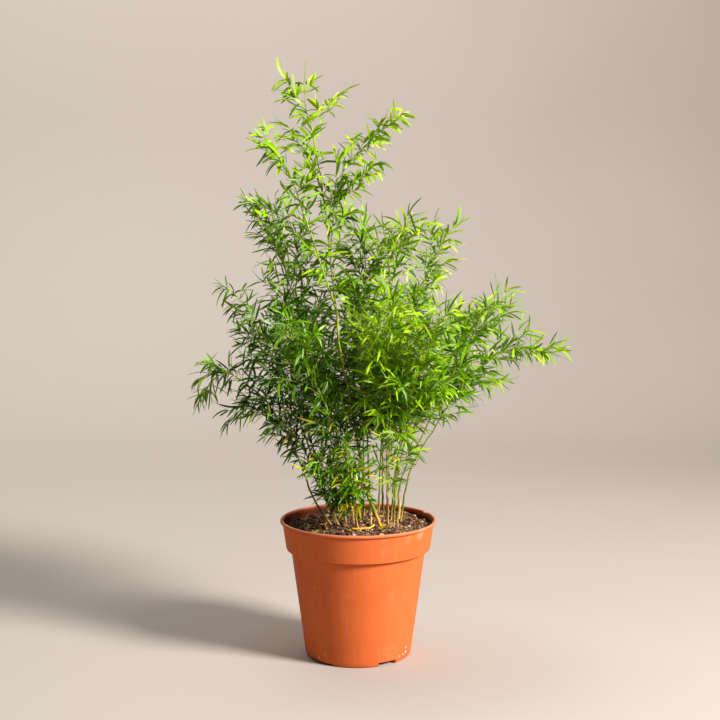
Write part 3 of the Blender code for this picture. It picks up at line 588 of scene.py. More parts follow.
def grow_spray(body, blades, rng, plan, start, ahead, tip, tone, level=0):
    """A spray from its stem to its tip, with cladodes at its nodes and branchlets on a long one."""
    span = np.linalg.norm(tip - start)
    line = arc(start, ahead, tip, 16)
    share = max(1 - LAST_BLADE / span, 0.45)
    total = lengths_along(line)[-1]
    axis = evenly(line[:max(int(share * 16) + 1, 3)], max(int(total * share / POINT_EVERY), 3))
    axis[1:-1] += [offset(rng, SPRAY_WAVER) for _ in axis[1:-1]]
    if not clear_of_pot(axis[2:]):
        return
    thick = (SPRAY_R, BRANCHLET_R)[level] * (0.8 + 4 * min(span, 0.06))
    radii = np.linspace(thick, SPRAY_TIP_R, len(axis))
    tints = tint_rows(len(axis), 0, np.linspace(0.5, 1, len(axis)), tone * 0.8 + 0.3 * rng.random(), 0)
    sunk_start = start - (axis[1] - start) * 0.1
    add_tube(body, np.vstack([sunk_start, axis[1:]]), radii, SPRAY_SIDES, tints, 1)
    length = lengths_along(axis)[-1]
    nodes = max(int(length * plan["crowd"] / NODE_EVERY), 2)
    flat = rng.uniform(-0.5, 0.5)
    for k in range(nodes):
        at = (k + 0.7 + rng.uniform(-0.25, 0.25)) / nodes
        if at > 1 or (level == 0 and at * length < FIRST_BLADE):
            continue
        turn = flat + pi * (k % 2) + rng.gauss(0, 0.3)
        leaf_cluster(blades, rng, plan, *along(axis, at), turn, tone + 0.20 * (at - 0.5), 1.0 - 0.12 * at,
                     63 - 22 * at)
    for k in range(1 + (rng.random() < 0.6) + (rng.random() < 0.2)):
        lean = radians((8, 28, 34)[k] + rng.uniform(-7, 7))
        turn = flat + pi * k + rng.gauss(0, 0.4)
        grow_blade(blades, rng, plan, *along(axis, 1), turn, lean, tone + 0.14, (0.9, 0.8, 0.7)[k])
    if level == 0 and length > BRANCHLET_FROM:
        extra = 1 + int((length - BRANCHLET_FROM) / BRANCHLET_EVERY)
        for k in range(extra):
            at = 0.22 + 0.62 * (k + rng.uniform(0.2, 0.8)) / extra
            point, forward = along(axis, at)
            turn = flat + pi * (k % 2) + rng.gauss(0, 0.5)
            reach = length * rng.uniform(0.30, 0.44) * (1.15 - 0.6 * at) + BRANCHLET_LEAST
            way = leaning(forward, turn, radians(rng.uniform(38, 58)))
            grow_spray(body, blades, rng, plan, point, forward, point + way * reach, tone + 0.05, level=1)


def grow_sprays(body, blades, rng, plan, route):
    """The sprays whose tips are given, and between them others that follow the plant's own pattern."""
    wanted = [(share, *along(route, share), metres(tip)) for share, *tip in plan["tips"]]
    leafy = plan["leafy"]
    count = max(int(lengths_along(route)[-1] * (0.97 - leafy) / SPRAY_EVERY * plan["bush"]), 2)
    turn = rng.uniform(0, tau)
    for k in range(count):
        part = (k + 0.5 + rng.uniform(-0.2, 0.2)) / count
        share = leafy + (0.97 - leafy) * part
        point, ahead = along(route, share)
        turn += GOLDEN_TURN
        way = leaning(ahead, turn, radians(rng.uniform(46, 70))) - UP * plan["sag"]
        reach = metres(plan["reach"]) * (1.12 - 0.58 * part) * rng.uniform(0.55, 1.08)
        if way[2] < 0:
            reach *= 0.72
        way[1] *= plan["deep"]
        wanted.append((share, point, ahead, point + way * reach))
    for share, point, ahead, tip in wanted:
        tone = plan["tone"] + plan["fade"] * (share - 0.75) + rng.gauss(0, 0.05)
        grow_spray(body, blades, rng, plan, point, ahead, tip, tone)


def grow_stem(body, blades, rng, plan, buried):
    """One stem or bough with its node rings, sprays and tip."""
    line = metres(plan["route"])
    count = max(int(lengths_along(smooth(line, 60))[-1] / POINT_EVERY), 6)
    route = smooth(line, count)[:count - int(LAST_BLADE * 0.8 / POINT_EVERY) + 1]
    length = lengths_along(route)[-1]
    foot_r = metres(plan["foot_r"])
    shares = np.linspace(0, 1, len(route))
    ring = np.arange(len(route)) % 4 == 2
    radii = (foot_r + (STEM_TIP_R * 0.8 - foot_r) * shares ** 0.8) * np.where(ring, 1.10, 0.98)
    route[1:-1] += [offset(rng, STEM_WAVER) for _ in route[1:-1]]
    straw = np.clip((metres(plan["dry"]) - (route[:, 2] - SOIL_Z)) / DRY_FADE + 0.5, 0, 1)
    age = shares if buried else 0.7 + 0.3 * shares
    tints = tint_rows(len(route), straw, age, plan["fresh"] + 0.15 * (rng.random() - 0.5), ring)
    tube = route
    if buried:
        tube = np.vstack([route[0] - UP * ROOTED, route[0] - UP * (ROOTED * 0.5), route])
        radii = np.concatenate([[foot_r * 0.9, foot_r], radii])
        tints = np.vstack([tints[:1], tints[:1], tints])
    add_tube(body, tube, radii, STEM_SIDES, tints, 1)
    grow_sprays(body, blades, rng, plan, route)
    leafy, tone = plan["leafy"], plan["tone"]
    count = int(length * (1 - leafy) / STEM_NODE_EVERY)
    turn = rng.uniform(0, tau)
    for k in range(count):
        share = leafy + (1 - leafy) * (k + 0.6) / count
        turn += GOLDEN_TURN
        leaf_cluster(blades, rng, plan, *along(route, share), turn, tone + 0.25 * (share - 0.7), 0.98,
                     52 - 16 * share)
    for k, lean in enumerate((5, 24, 30)):
        grow_blade(blades, rng, plan, *along(route, 1), 2.1 * k, radians(lean), tone + 0.18, 0.95)


def grow_node(node, looks):
    """The fine piece for one leafy node."""
    body = Body()
    blades = []
    rng = random.Random(f"{node} fine")
    grow_stem(body, blades, rng, USUAL | STEMS[node], buried=True)
    if node == BOUGHS_OF:
        for bough in BOUGHS:
            grow_stem(body, blades, rng, USUAL | bough, buried=False)
    add_blades(body, blades)
    piece = body.mesh(f"{node}_fine", looks)
    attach(piece, "root")
    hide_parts(node)


# Pot

def in_frame(radius, angle, z):
    """The frame's point at a radius, an angle round the pot's axis and a height."""
    return radius * cos(angle) - FOOTPRINT_MIDDLE[0], radius * sin(angle) - FOOTPRINT_MIDDLE[1], z


def on_pot(angle, z):
    """The point of the pot's outer face at an angle from +X, in degrees, and a height, in the frame."""
    radius = np.interp(z, (EDGE_H, COLLAR_LOW_Z - STEP_H, COLLAR_LOW_Z, POT_H - BEAD_H),
                       (BODY_LOW_R, BODY_TOP_R, COLLAR_LOW_R, COLLAR_TOP_R))
    return in_frame(radius, radians(angle), z)


def inner_wall(z):
    """The inside radius of the pot at a height, following its three stretches."""
    return float(np.interp(z, [FLOOR_TOP, STEP_TOP - STEP_H, STEP_TOP, POT_H - BEAD_H],
                           [BODY_LOW_R - WALL, BODY_TOP_R - WALL, COLLAR_LOW_R - WALL, COLLAR_TOP_R - WALL]))


def rounded(points, radius, steps=4):
    """A profile with each inner corner replaced by a short round of this radius."""
    points = [np.array(p, float) for p in points]
    out = [points[0]]
    for before, corner, after in zip(points, points[1:], points[2:]):
        a, b = before - corner, after - corner
        cut = min(radius, np.linalg.norm(a) * 0.42, np.linalg.norm(b) * 0.42)
        p, q = corner + unit(a) * cut, corner + unit(b) * cut
        for t in np.linspace(0, 1, steps + 1):
            out.append(p * (1 - t) ** 2 + corner * 2 * t * (1 - t) + q * t ** 2)
    return out + [points[-1]]


def circle(radius, z, turn):
    return np.stack([radius * np.cos(turn), radius * np.sin(turn), np.full(len(turn), z)], 1)


def turned(name, rings, ends, materials, sharp):
    """Rings of points round Z, closed onto a point at each end. The first end is inside or on top."""
    points = np.vstack([*rings, *ends])
    quads, fans = ring_faces(len(rings), len(rings[0]))
    body = Body()
    body.add(points, [quads[:, [0, 3, 2, 1]], fans[:, [0, 2, 1]]], np.zeros((len(points), 4)))
    return body.mesh(name, materials, sharp)


def pot_profile():
    """The pot's section as (radius, height) points, from the middle of its floor up, over and under."""
    bead_low = POT_H - BEAD_H
    inside = [(0, FLOOR_TOP)]
    inside += [(inner_wall(z), z) for z in (FLOOR_TOP, STEP_TOP - STEP_H, STEP_TOP, bead_low)]
    rim = [(RIM_R - BEAD_W, POT_H - MOUTH_DROP), (RIM_R - BEAD_W + BEAD_CORNER, POT_H),
           (RIM_R - BEAD_CORNER, POT_H), (RIM_R, POT_H - BEAD_CORNER), (RIM_R, bead_low + BEAD_CORNER),
           (RIM_R - BEAD_CORNER, bead_low)]
    outside = [(COLLAR_TOP_R, bead_low - MOUTH_DROP), (COLLAR_LOW_R, COLLAR_LOW_Z),
               (COLLAR_LOW_R - BEAD_CORNER, COLLAR_LOW_Z - STEP_CORNER),
               (BODY_TOP_R + MOUTH_DROP, COLLAR_LOW_Z - STEP_H),
               (BODY_TOP_R, COLLAR_LOW_Z - STEP_H - STEP_CORNER), (BODY_LOW_R, EDGE_H),
               (BODY_LOW_R - BEAD_CORNER, FOOT_CORNER), (FOOT_R, 0)]
    under = [(FOOT_IN_R, 0), (FOOT_IN_R - BEAD_CORNER, FLOOR_Z), (0, FLOOR_Z)]
    return rounded(inside + rim + outside + under, 0.0005)


def wedge(name, middle, span, radii, heights, steps=6):
    """A block between two radii and two heights, over an angle about Z, with curved faces."""
    angles = [radians(middle + span * (k / steps - 0.5)) for k in range(steps + 1)]
    plan = [(radii[0], a) for a in angles] + [(radii[1], a) for a in reversed(angles)]
    count = len(plan)
    faces = [list(range(count)), list(range(2 * count - 1, count - 1, -1))]
    faces += [(k, k + count, (k + 1) % count + count, (k + 1) % count) for k in range(count)]
    mesh = bpy.data.meshes.new(name)
    mesh.from_pydata([in_frame(r, a, z) for z in heights for r, a in plan], [], faces)
    return bpy.data.objects.new(name, mesh)


def drain(name, angle):
    work = bmesh.new()
    bmesh.ops.create_cone(work, cap_ends=True, segments=32, radius1=DRAIN_R, radius2=DRAIN_R, depth=0.006)
    mesh = bpy.data.meshes.new(name)
    work.to_mesh(mesh)
    work.free()
    obj = bpy.data.objects.new(name, mesh)
    obj.location = in_frame(DRAIN_AT_R, angle, FLOOR_Z + FLOOR_T / 2)
    return obj


def make_pot():
    """The turned pot with its notches, drain holes and the nick in its rim cut out."""
    profile = pot_profile()
    rings = [circle(*point, around(POT_STEPS)) for point in profile[1:-1]]
    pot = turned("pot_fine", rings, [(0, 0, profile[0][1]), (0, 0, profile[-1][1])], [], POT_SHARP)
    cutters = bpy.data.collections.new("pot cutters")
    bpy.context.scene.collection.children.link(cutters)
    for number, (middle, span, height) in enumerate(FOOT_NOTCHES):
        cutters.objects.link(wedge(f"notch_{number}", middle, span, (FOOT_IN_R - 0.006, RIM_R),
                                   (-0.002, height)))
        cutters.objects.link(drain(f"drain_{number}", radians(DRAINS_FROM + 90 * number)))
    middle, span, depth = RIM_NICK
    cutters.objects.link(wedge("rim_nick", middle, span, (RIM_R - 0.008, RIM_R + 0.004),
                               (POT_H - depth, POT_H + 0.002)))
    boolean = pot.modifiers.new("Cut", "BOOLEAN")
    boolean.operation = "DIFFERENCE"
    boolean.operand_type = "COLLECTION"
    boolean.collection = cutters
    bpy.context.view_layer.update()
    graph = bpy.context.evaluated_depsgraph_get()
    mesh = bpy.data.meshes.new_from_object(pot.evaluated_get(graph))
    pot.modifiers.clear()
    pot.data = mesh
    for cutter in list(cutters.objects):
        bpy.data.objects.remove(cutter)
    bpy.data.collections.remove(cutters)
    mesh.materials.clear()
    mesh.materials.append(pot_material())
    mesh.shade_smooth()
    mesh.set_sharp_from_angle(angle=radians(POT_SHARP))
    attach(pot, "root")
    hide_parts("pot")


# Soil and litter

def rough(x, y, scale, layer):
    """Noise over the soil's plan, from -1 to 1. Each layer has its own pattern."""
    return noise.noise(Vector((x * scale, y * scale, layer)))


def soil_height(x, y):
    """The height of the soil's surface: low mounds, a little deeper at the right."""
    mounds = (0.0007 * sin(95 * x + 1.1) * cos(80 * y - 0.4)
              + 0.0005 * sin(150 * x - 120 * y + 0.7) + 0.0003 * cos(210 * y + 60 * x))
    return SOIL_Z + mounds - 0.0010 * min(max((x - 0.025) / 0.04, 0), 1)


def fine_soil_height(x, y):
    """The same surface with its crumbs and pits. It falls to the wall at the back left, as in the photo."""
    crumbs = noise.fractal(Vector((x * 260, y * 260, 0.3)), 0.9, 2.1, 4) * 0.00085
    pits = rough(x, y, 620, 7) * 0.00045
    lumps = rough(x, y, 110, 3) * 0.0011
    to_wall = min(max((hypot(x, y) - 0.040) / 0.028, 0), 1)
    back_left = max((0.42 * y - 0.91 * x) / max(hypot(x, y), 0.001), 0)
    return soil_height(x, y) + crumbs + pits + lumps - SOIL_FALL * to_wall * back_left


def make_soil():
    """The plug of compost, with its rough surface dipping at the wall."""
    outer = inner_wall(SOIL_Z) - GAP
    turn = around(SOIL_STEPS)
    rings = []
    for k in range(1, SOIL_RINGS + 1):
        r = outer * k / SOIL_RINGS
        edge = min(max((outer - r) / 0.006, 0), 1)
        ring = []
        for a in turn:
            x, y = r * cos(a), r * sin(a)
            wall_dip = -0.0012 * (1 - edge) ** 2 * (0.4 + rough(x, y, 90, 11))
            ring.append((x, y, fine_soil_height(x, y) + wall_dip))
        rings.append(np.array(ring))
    bottom = FLOOR_TOP + GAP
    for z, lift in ((SOIL_Z - 0.009, 0), (STEP_TOP, GAP), (STEP_TOP - STEP_H, GAP), (bottom, 0)):
        rings.append(circle(inner_wall(z) - GAP, z + lift, turn))
    ends = [(0, 0, fine_soil_height(0, 0)), (0, 0, bottom)]
    piece = turned("soil_fine", rings, ends, [soil_material()], 80)
    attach(piece, "root")
    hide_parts("soil")


def scattered(rng, count, from_wall):
    """Spots on the soil's plan, with the reach that they lie in."""
    outer = inner_wall(SOIL_Z) - from_wall
    for _ in range(count):
        r = outer * sqrt(rng.random())
        a = rng.uniform(0, tau)
        yield r * cos(a), r * sin(a), outer


def make_crumbs():
    """Crumbs of peat and bark, and a few grains of perlite, half sunk in the surface."""
    rng = random.Random("crumbs")
    work = bmesh.new()
    bmesh.ops.create_icosphere(work, subdivisions=2, radius=1)
    ball = np.array([v.co for v in work.verts])
    faces = np.array([[v.index for v in f.verts] for f in work.faces])
    work.free()
    body = Body()
    for x, y, _ in scattered(rng, CRUMBS, 0.004):
        size = 0.00050 + 0.0019 * rng.random() ** 2.9
        pale = rng.random() < 0.030
        size = min(size, 0.0011) if pale else size
        stretch = np.array((rng.uniform(0.8, 1.7), rng.uniform(0.6, 1.0), rng.uniform(0.5, 0.9)))
        turn = rng.uniform(0, tau)
        seed = rng.uniform(0, 90)
        lumps = [1 + 0.34 * noise.noise(Vector(p * 1.7 + seed)) + 0.2 * noise.noise(Vector(p * 4 + seed))
                 for p in ball]
        spin = np.array([[cos(turn), sin(turn), 0], [-sin(turn), cos(turn), 0], [0, 0, 1]])
        at = np.array((x, y, fine_soil_height(x, y) + size * rng.uniform(0.0, 0.45)))
        shape = (ball * np.array(lumps)[:, None] * stretch * size) @ spin + at
        kind = 1.0 if pale else rng.random() * 0.64
        body.add(shape, [faces], tint_rows(len(shape), kind, rng.random(), rng.random(), 1))
    piece = body.mesh("soil_crumbs", [crumb_material()], sharp=50)
    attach(piece, "root")


def make_fibres():
    """Thin roots, stalks and slivers that lie on the compost."""
    rng = random.Random("fibres")
    body = Body()
    for x, y, outer in scattered(rng, FIBRES, 0.006):
        heading = rng.uniform(0, tau)
        length = 0.003 + 0.012 * rng.random() ** 2
        bend = rng.gauss(0, 60)
        radius = 0.00010 + 0.00022 * rng.random() ** 2
        route = []
        for t in np.linspace(0, length, 7):
            if hypot(x, y) > outer:
                break
            lift = radius * 0.8 + 0.0006 * sin(pi * t / length) * rng.uniform(0.2, 1.0)
            route.append((x, y, fine_soil_height(x, y) + lift))
            x += cos(heading) * length / 6
            y += sin(heading) * length / 6
            heading += bend * length / 6
        if len(route) < 4:
            continue
        tints = tint_rows(len(route), rng.random(), rng.random(), rng.random(), 1)
        add_tube(body, route, radius * np.linspace(1, 0.6, len(route)), 5, tints)
    piece = body.mesh("soil_fibres", [fibre_material()])
    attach(piece, "root")


def make_fallen_blades(look):
    """Shed cladodes, yellow or brown, lying on the compost clear of the forked twig."""
    rng = random.Random("fallen blades")
    fork_x, fork_y = metres(FORK_STALK[-1])
    blades = []
    for x, y, outer in scattered(rng, FALLEN_BLADES, 0.012):
        if hypot(x - fork_x, (y - fork_y) / 2) < 0.009:
            continue
        heading = rng.uniform(0, tau)
        way = np.array((cos(heading), sin(heading), rng.uniform(0.0, 0.35)))
        length = rng.uniform(0.004, 0.0105)
        if hypot(x + way[0] * length, y + way[1] * length) > outer + 0.004:
            continue
        point = (x, y, fine_soil_height(x, y) + 0.0011)
        face = (rng.gauss(0, 0.4), rng.gauss(0, 0.4), 1)
        bend = (rng.gauss(0, 0.7), rng.gauss(0, 0.7), rng.uniform(-0.3, 0.4))
        age = rng.choice((1.10, 1.16, 1.20, 1.26, 1.36, 1.5))
        sizes = (length, rng.uniform(0.0011, 0.0020), rng.gauss(0, 0.8))
        blades.append((point, way, face, bend, sizes, (age, 0.7 * rng.random() - 0.7)))
    body = Body()
    add_blades(body, blades)
    piece = body.mesh("fallen_blades", [look])
    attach(piece, "root")


def lying(points):
    """A line of points, in millimetres, laid on the soil."""
    return np.array([(x, y, soil_height(x, y) + DRY_R + DRY_LIFT) for x, y in metres(points)])


def add_stalk(body, rng, route, radii, points=16, orange=1.0):
    """A dry stalk with its node rings."""
    share = np.linspace(0, 1, points + 1)
    ring = np.arange(points + 1) % 5 == 2
    fine = np.interp(share, np.linspace(0, 1, len(radii)), radii)
    fine = fine * np.where(ring, 1.16, 1.0) * np.array([rng.uniform(0.95, 1.05) for _ in fine])
    add_tube(body, smooth(route, points), fine, 12, tint_rows(points + 1, orange, share, rng.random(), ring))


def make_dry_pieces():
    """Finer forms of the forked twig, the fallen stem and the stubs."""
    rng = random.Random("dry pieces")
    fork = Body()
    add_stalk(fork, rng, lying(FORK_STALK), (DRY_R * 0.8, DRY_R, DRY_R))
    for arm in FORK_ARMS:
        add_stalk(fork, rng, lying(arm), (DRY_R * 0.95, DRY_R * 0.8, DRY_R * 0.5), 10)
    fallen = Body()
    fallen_route = lying(FALLEN_STEM)
    fallen_route[-1, 2] += FALLEN_RISE
    add_stalk(fallen, rng, fallen_route, (DRY_R * 0.9, DRY_R, DRY_R, DRY_R, DRY_R * 0.8), 24)
    pieces = {"dry_fork": fork, "fallen_stem": fallen}
    for name in STUBS:
        x, y, top_x, top_y, height, radius = metres(STUBS[name])
        low, high = np.array(((x, y, SOIL_Z), (top_x, top_y, SOIL_Z + height)))
        route = ((x, y, SOIL_Z - STUB_ROOTED), low, (low + high) / 2, high)
        stub = Body()
        add_stalk(stub, rng, route, (radius, radius, radius, radius * 0.72), 22, 0.12)
        for k in range(4):
            angle = k * 1.7 + rng.random()
            out = np.array((cos(angle), sin(angle), 0))
            start = low + (high - low) * rng.uniform(0.15, 0.8) + out * radius * 0.6
            tip = start + out * 0.0016 + UP * rng.uniform(0.002, 0.005)
            sliver = (start, (start + tip) / 2 + out * 0.0002, tip)
            add_tube(stub, sliver, (0.00035, 0.0003, 0.00012), 5, tint_rows(3, 0.1, 1, rng.random(), 0))
        pieces[name] = stub
    look = straw_material()
    for name, body in pieces.items():
        piece = body.mesh(f"{name}_fine", [look])
        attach(piece, "root")
        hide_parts(name)


# Materials

def connect(value, socket):
    """Link a value to a socket, or set the socket to a plain number or colour."""
    if isinstance(value, Value):
        socket.id_data.links.new(value.socket, socket)
    else:
        socket.default_value = (*value, 1) if socket.type == "RGBA" else value


def fill(node, **inputs):
    """Set or link a node's inputs by name."""
    for name, value in inputs.items():
        connect(value, node.inputs[name.replace("_", " ")])


class Value:
    """A number or a colour that differs over a surface. Plain arithmetic with it adds math nodes."""

    def __init__(self, socket):
        self.socket = socket

    def math(self, operation, other=0):
        node = self.socket.id_data.nodes.new("ShaderNodeMath")
        node.operation = operation
        connect(self, node.inputs[0])
        connect(other, node.inputs[1])
        return Value(node.outputs[0])

    __add__ = partialmethod(math, "ADD")
    __sub__ = partialmethod(math, "SUBTRACT")
    __mul__ = partialmethod(math, "MULTIPLY")
    __truediv__ = partialmethod(math, "DIVIDE")
    __pow__ = partialmethod(math, "POWER")
    __abs__ = partialmethod(math, "ABSOLUTE")
    root = partialmethod(math, "SQRT")

    def __rsub__(self, other):
        return self * -1 + other

    def clamped(self):
        """The same value kept between 0 and 1."""
        self.socket.node.use_clamp = True
        return self


class Look:
    """A material with its shader and short ways to add nodes."""

    def __init__(self, name, specular):
        self.material = bpy.data.materials.new(name)
        self.material.use_nodes = True
        self.nodes = self.material.node_tree.nodes
        self.shader = self.nodes["Principled BSDF"]
        fill(self.shader, Specular_IOR_Level=specular)

    def node(self, kind, **inputs):
        node = self.nodes.new(f"ShaderNode{kind}")
        fill(node, **inputs)
        return node

    def value(self, kind, **inputs):
        return Value(self.node(kind, **inputs).outputs[0])

    def place(self):
        return Value(self.node("TexCoord").outputs["Object"])

    def xyz(self):
        """The place of a point of the surface, from the middle of the pot's foot."""
        x, y, z = [Value(socket) for socket in self.node("SeparateXYZ", Vector=self.place()).outputs]
        return x + FOOTPRINT_MIDDLE[0], y + FOOTPRINT_MIDDLE[1], z

    def noise(self, scale, detail, roughness=0.5, stretch=None):
        where = self.place()
        if stretch:
            where = self.value("Mapping", Vector=where, Scale=stretch)
        return self.value("TexNoise", Vector=where, Scale=scale, Detail=detail, Roughness=roughness)

    def ramp(self, factor, *stops):
        """Colours by a factor. Each stop is its place and its red, green and blue."""
        node = self.node("ValToRGB", Fac=factor)
        elements = node.color_ramp.elements
        while len(elements) < len(stops):
            elements.new(0.5)
        for element, (at, *colour) in zip(elements, stops):
            element.position = at
            element.color = (*colour, 1)
        return Value(node.outputs[0])

    def mix(self, factor, a, b, blend="MIX"):
        node = self.node("Mix")
        node.data_type = "RGBA"
        node.blend_type = blend
        for index, value in ((0, factor), (6, a), (7, b)):
            connect(value, node.inputs[index])
        return Value(node.outputs[2])

    def tint(self):
        """The tint's four numbers."""
        attribute = self.node("Attribute")
        attribute.attribute_name = "tint"
        split = self.node("SeparateColor", Color=Value(attribute.outputs["Color"]))
        return [Value(socket) for socket in (*split.outputs, attribute.outputs["Alpha"])]

    def spot(self, at, radius):
        """1 at a point of the surface, falling to 0 at the radius."""
        away = self.node("VectorMath")
        away.operation = "DISTANCE"
        connect(self.place(), away.inputs[0])
        connect(at, away.inputs[1])
        return (1 - Value(away.outputs["Value"]) / radius).clamped()

    def finish(self, colour, roughness, bump=None):
        """roughness is its factor, low and high, and bump is its height, strength and distance."""
        factor, low, high = roughness
        spread = self.value("MapRange", Value=factor, To_Min=low, To_Max=high)
        fill(self.shader, Base_Color=colour, Roughness=spread)
        if bump:
            height, strength, distance = bump
            normal = self.value("Bump", Height=height, Strength=strength, Distance=distance)
            fill(self.shader, Normal=normal)
        return self.material


def leaf_material():
    """Cladode green from deep to lime by age, yellow past it, with a paler midrib and light let through."""
    look = Look("cladode green", 0.20)
    fill(look.shader, Specular_Tint=(.97, 1, .55))
    age, run, chance, edge = look.tint()
    mottled = (age + (look.noise(160, 2) - 0.5) * 0.30 + run * 0.06) * (1 / 1.6)
    green = look.ramp(mottled, (0, .007, .034, .0005), (.14, .018, .066, .001), (.30, .064, .180, .001),
                      (.44, .185, .390, .002), (.56, .340, .570, .006), (.66, .510, .680, .018),
                      (.76, .740, .520, .020), (.94, .440, .250, .050))
    rib = (1 - edge).clamped() ** 6
    green = look.mix(rib * 0.15, green, (.45, .56, .06))
    green = look.mix(1, green, chance * 0.30 + 0.90, "MULTIPLY")
    # A few blades show a paler, greyer green, partly as painted sheen for whitish highlights
    green = look.mix((chance - 0.82).clamped() * 5.2, green, (.35, .50, .21))
    through = look.value("BsdfTranslucent", Color=look.mix(0.35, green, (.30, .62, .002)))
    mixed = look.node("MixShader")
    for value, socket in zip((0.36, Value(look.shader.outputs[0]), through), mixed.inputs):
        connect(value, socket)
    fill(look.nodes["Material Output"], Surface=Value(mixed.outputs[0]))
    return look.finish(green, (look.noise(420, 2), 0.18, 0.36),
                       (look.noise(900, 2, stretch=(1, 1, .4)), 0.25, 0.0002))


def stem_material():
    """Stems: straw or orange at the foot, olive or lime green above, with pinkish tan node rings."""
    look = Look("stem green", 0.3)
    straw, run, fresh, ring = look.tint()
    streaks = look.noise(90, 3, stretch=(4, 4, .35))
    green = look.ramp(run, (0, .105, .125, .008), (.12, .090, .165, .008), (.5, .175, .300, .012),
                      (1, .320, .480, .018))
    higher = (run * 2.2 + 0.35).clamped()
    green = look.mix((fresh * 0.9).clamped() * higher, green, (.34, .44, .008))
    brown = (look.noise(70, 2, stretch=(1, 1, .5)) * 1.5).clamped() ** 4
    low = (1 - run * 1.9).clamped()
    green = look.mix(brown * (low * 0.6), green, (.200, .085, .022))
    foot = look.mix(fresh ** 2.5, (.62, .39, .145), (.74, .35, .018))
    colour = look.mix((straw * (streaks * 0.9 + 0.55)).clamped(), green, foot)
    shown = (low + fresh ** 4 * 0.5).clamped()
    colour = look.mix(ring * (shown * 0.6), colour, (.50, .24, .12))
    return look.finish(colour, (streaks, 0.36, 0.62), (streaks, 0.3, 0.0002))


def pot_material():
    """Matt terracotta plastic, streaked and scuffed, with splashes, painted highlights on its collar, and
    painted shade in its creases and inside its wall.
    """
    look = Look("terracotta plastic", 0.05)
    blotch = look.noise(16, 4)
    fine = look.noise(520, 3)
    streak = look.noise(240, 2, stretch=(1, 1, .05))
    colour = look.ramp(blotch, (.30, .590, .118, .031), (.70, .660, .144, .039))
    colour = look.mix((streak - 0.55).clamped() * 0.9, colour, (.74, .24, .09))
    scuff = look.ramp(look.noise(46, 6, roughness=0.7), (.60, 0, 0, 0), (.76, 1, 1, 1))
    colour = look.mix(scuff * 0.16, colour, (.80, .42, .26))
    patchy = look.ramp(look.noise(520, 5, roughness=0.7), (.38, 0, 0, 0), (.62, 1, 1, 1))
    # Pale spots: painted highlights high on the collar at the right, and a scuff near the foot
    for angle, height, radius, strength in SCUFFS_AND_HIGHLIGHTS:
        worn_or_lit = look.spot(on_pot(angle, height), radius) * ((patchy + 0.5) * strength)
        colour = look.mix(worn_or_lit.clamped(), colour, (.88, .56, .42))
    for angle, height, radius in SPLASHES:
        dot = look.spot(on_pot(angle, height), radius) * 1.8
        colour = look.mix(dot.clamped(), colour, (.86, .72, .60))

    # Painted shade in the creases under the bead and the collar
    x, y, z = look.xyz()
    for height, width, strength in ((POT_H - BEAD_H - 0.0004, 0.0008, 0.60),
                                    (COLLAR_LOW_Z - STEP_H - STEP_CORNER, 0.0007, 0.65)):
        painted_crease_shade = (1 - abs(z - height) / width).clamped()
        colour = look.mix(painted_crease_shade * strength, colour, (.130, .022, .007))

    # The rim's top face is paler, in noisy patches
    top = ((z - (POT_H - 0.0014)) * 1200).clamped()
    colour = look.mix(top * (look.noise(120, 4) * 0.50 + 0.10), colour, (.56, .33, .24))

    # Inside the wall it is darkened with painted shade, more so toward the left, which the foliage shades,
    # and most just above the soil
    slope = (COLLAR_TOP_R - COLLAR_LOW_R) / (POT_H - BEAD_H - COLLAR_LOW_Z)
    wall = (z - COLLAR_LOW_Z) * slope + (COLLAR_LOW_R - WALL / 2)
    inside = ((wall - (x * x + y * y).root()) * 2500).clamped()
    below = ((POT_H - 0.0010 - z) * 2000).clamped()
    above = ((z - (COLLAR_LOW_Z + 0.004)) * 2000).clamped()
    left = (0.5 - x * 6).clamped()
    soil_line = ((SOIL_Z + 0.0018 - z) * 400).clamped()
    inner_painted_shade = (left * 0.58 + 0.36 + (look.noise(90, 5) - 0.5) * 0.5 + soil_line).clamped()
    colour = look.mix(inner_painted_shade * (inside * (below * above)), colour, (.085, .019, .008))
    return look.finish(colour, (blotch * 0.5 + fine * 0.5, 0.40, 0.62),
                       (fine * 0.5 + streak * 0.5, 0.16, 0.0003))


def painted_shade_left(look):
    """The share of painted shade by which the compost darkens toward the left, which the foliage shades."""
    return ((0.002 - look.xyz()[0]) * 14).clamped()


def soil_material():
    look = Look("moist compost", 0.2)
    grain = look.noise(620, 5, roughness=0.68)
    patch = look.noise(70, 4)
    colour = look.ramp(grain, (.36, .010, .004, .003), (.46, .100, .042, .022), (.56, .320, .155, .085),
                       (.68, .700, .450, .290))
    colour = look.mix(patch * 0.25, colour, (.032, .015, .010))
    # Painted shade toward the left
    colour = look.mix(painted_shade_left(look) * 0.78, colour, (.010, .005, .003))
    return look.finish(colour, (patch, 0.80, 1.0), (grain, 1.0, 0.0014))


def crumb_material():
    """Peat and bark from dark to tan, and perlite, by the tint's first number."""
    look = Look("peat crumbs", 0.2)
    grain = look.noise(1100, 4)
    kind = look.tint()[0]
    colour = look.ramp(kind, (0, .018, .007, .004), (.22, .130, .056, .029), (.42, .340, .160, .086),
                       (.56, .60, .35, .21), (.62, .70, .50, .36), (.90, .62, .54, .42), (1, .78, .74, .66))
    colour = look.mix(grain * 0.45, colour, (.028, .014, .010))
    # Painted shade toward the left
    colour = look.mix(painted_shade_left(look) * 0.72, colour, (.014, .007, .004))
    return look.finish(colour, (grain, 0.75, 1.0), (grain, 0.8, 0.0005))


def fibre_material():
    look = Look("root fibres", 0.35)
    kind = look.tint()[0]
    colour = look.ramp(kind, (0, .080, .038, .020), (.45, .200, .105, .052), (.75, .40, .25, .12),
                       (1, .64, .48, .27))
    colour = look.mix(look.noise(600, 3) * 0.4, colour, (.100, .055, .030))
    return look.finish(colour, (look.noise(300, 2), 0.65, 0.95), (look.noise(900, 2), 0.4, 0.0002))


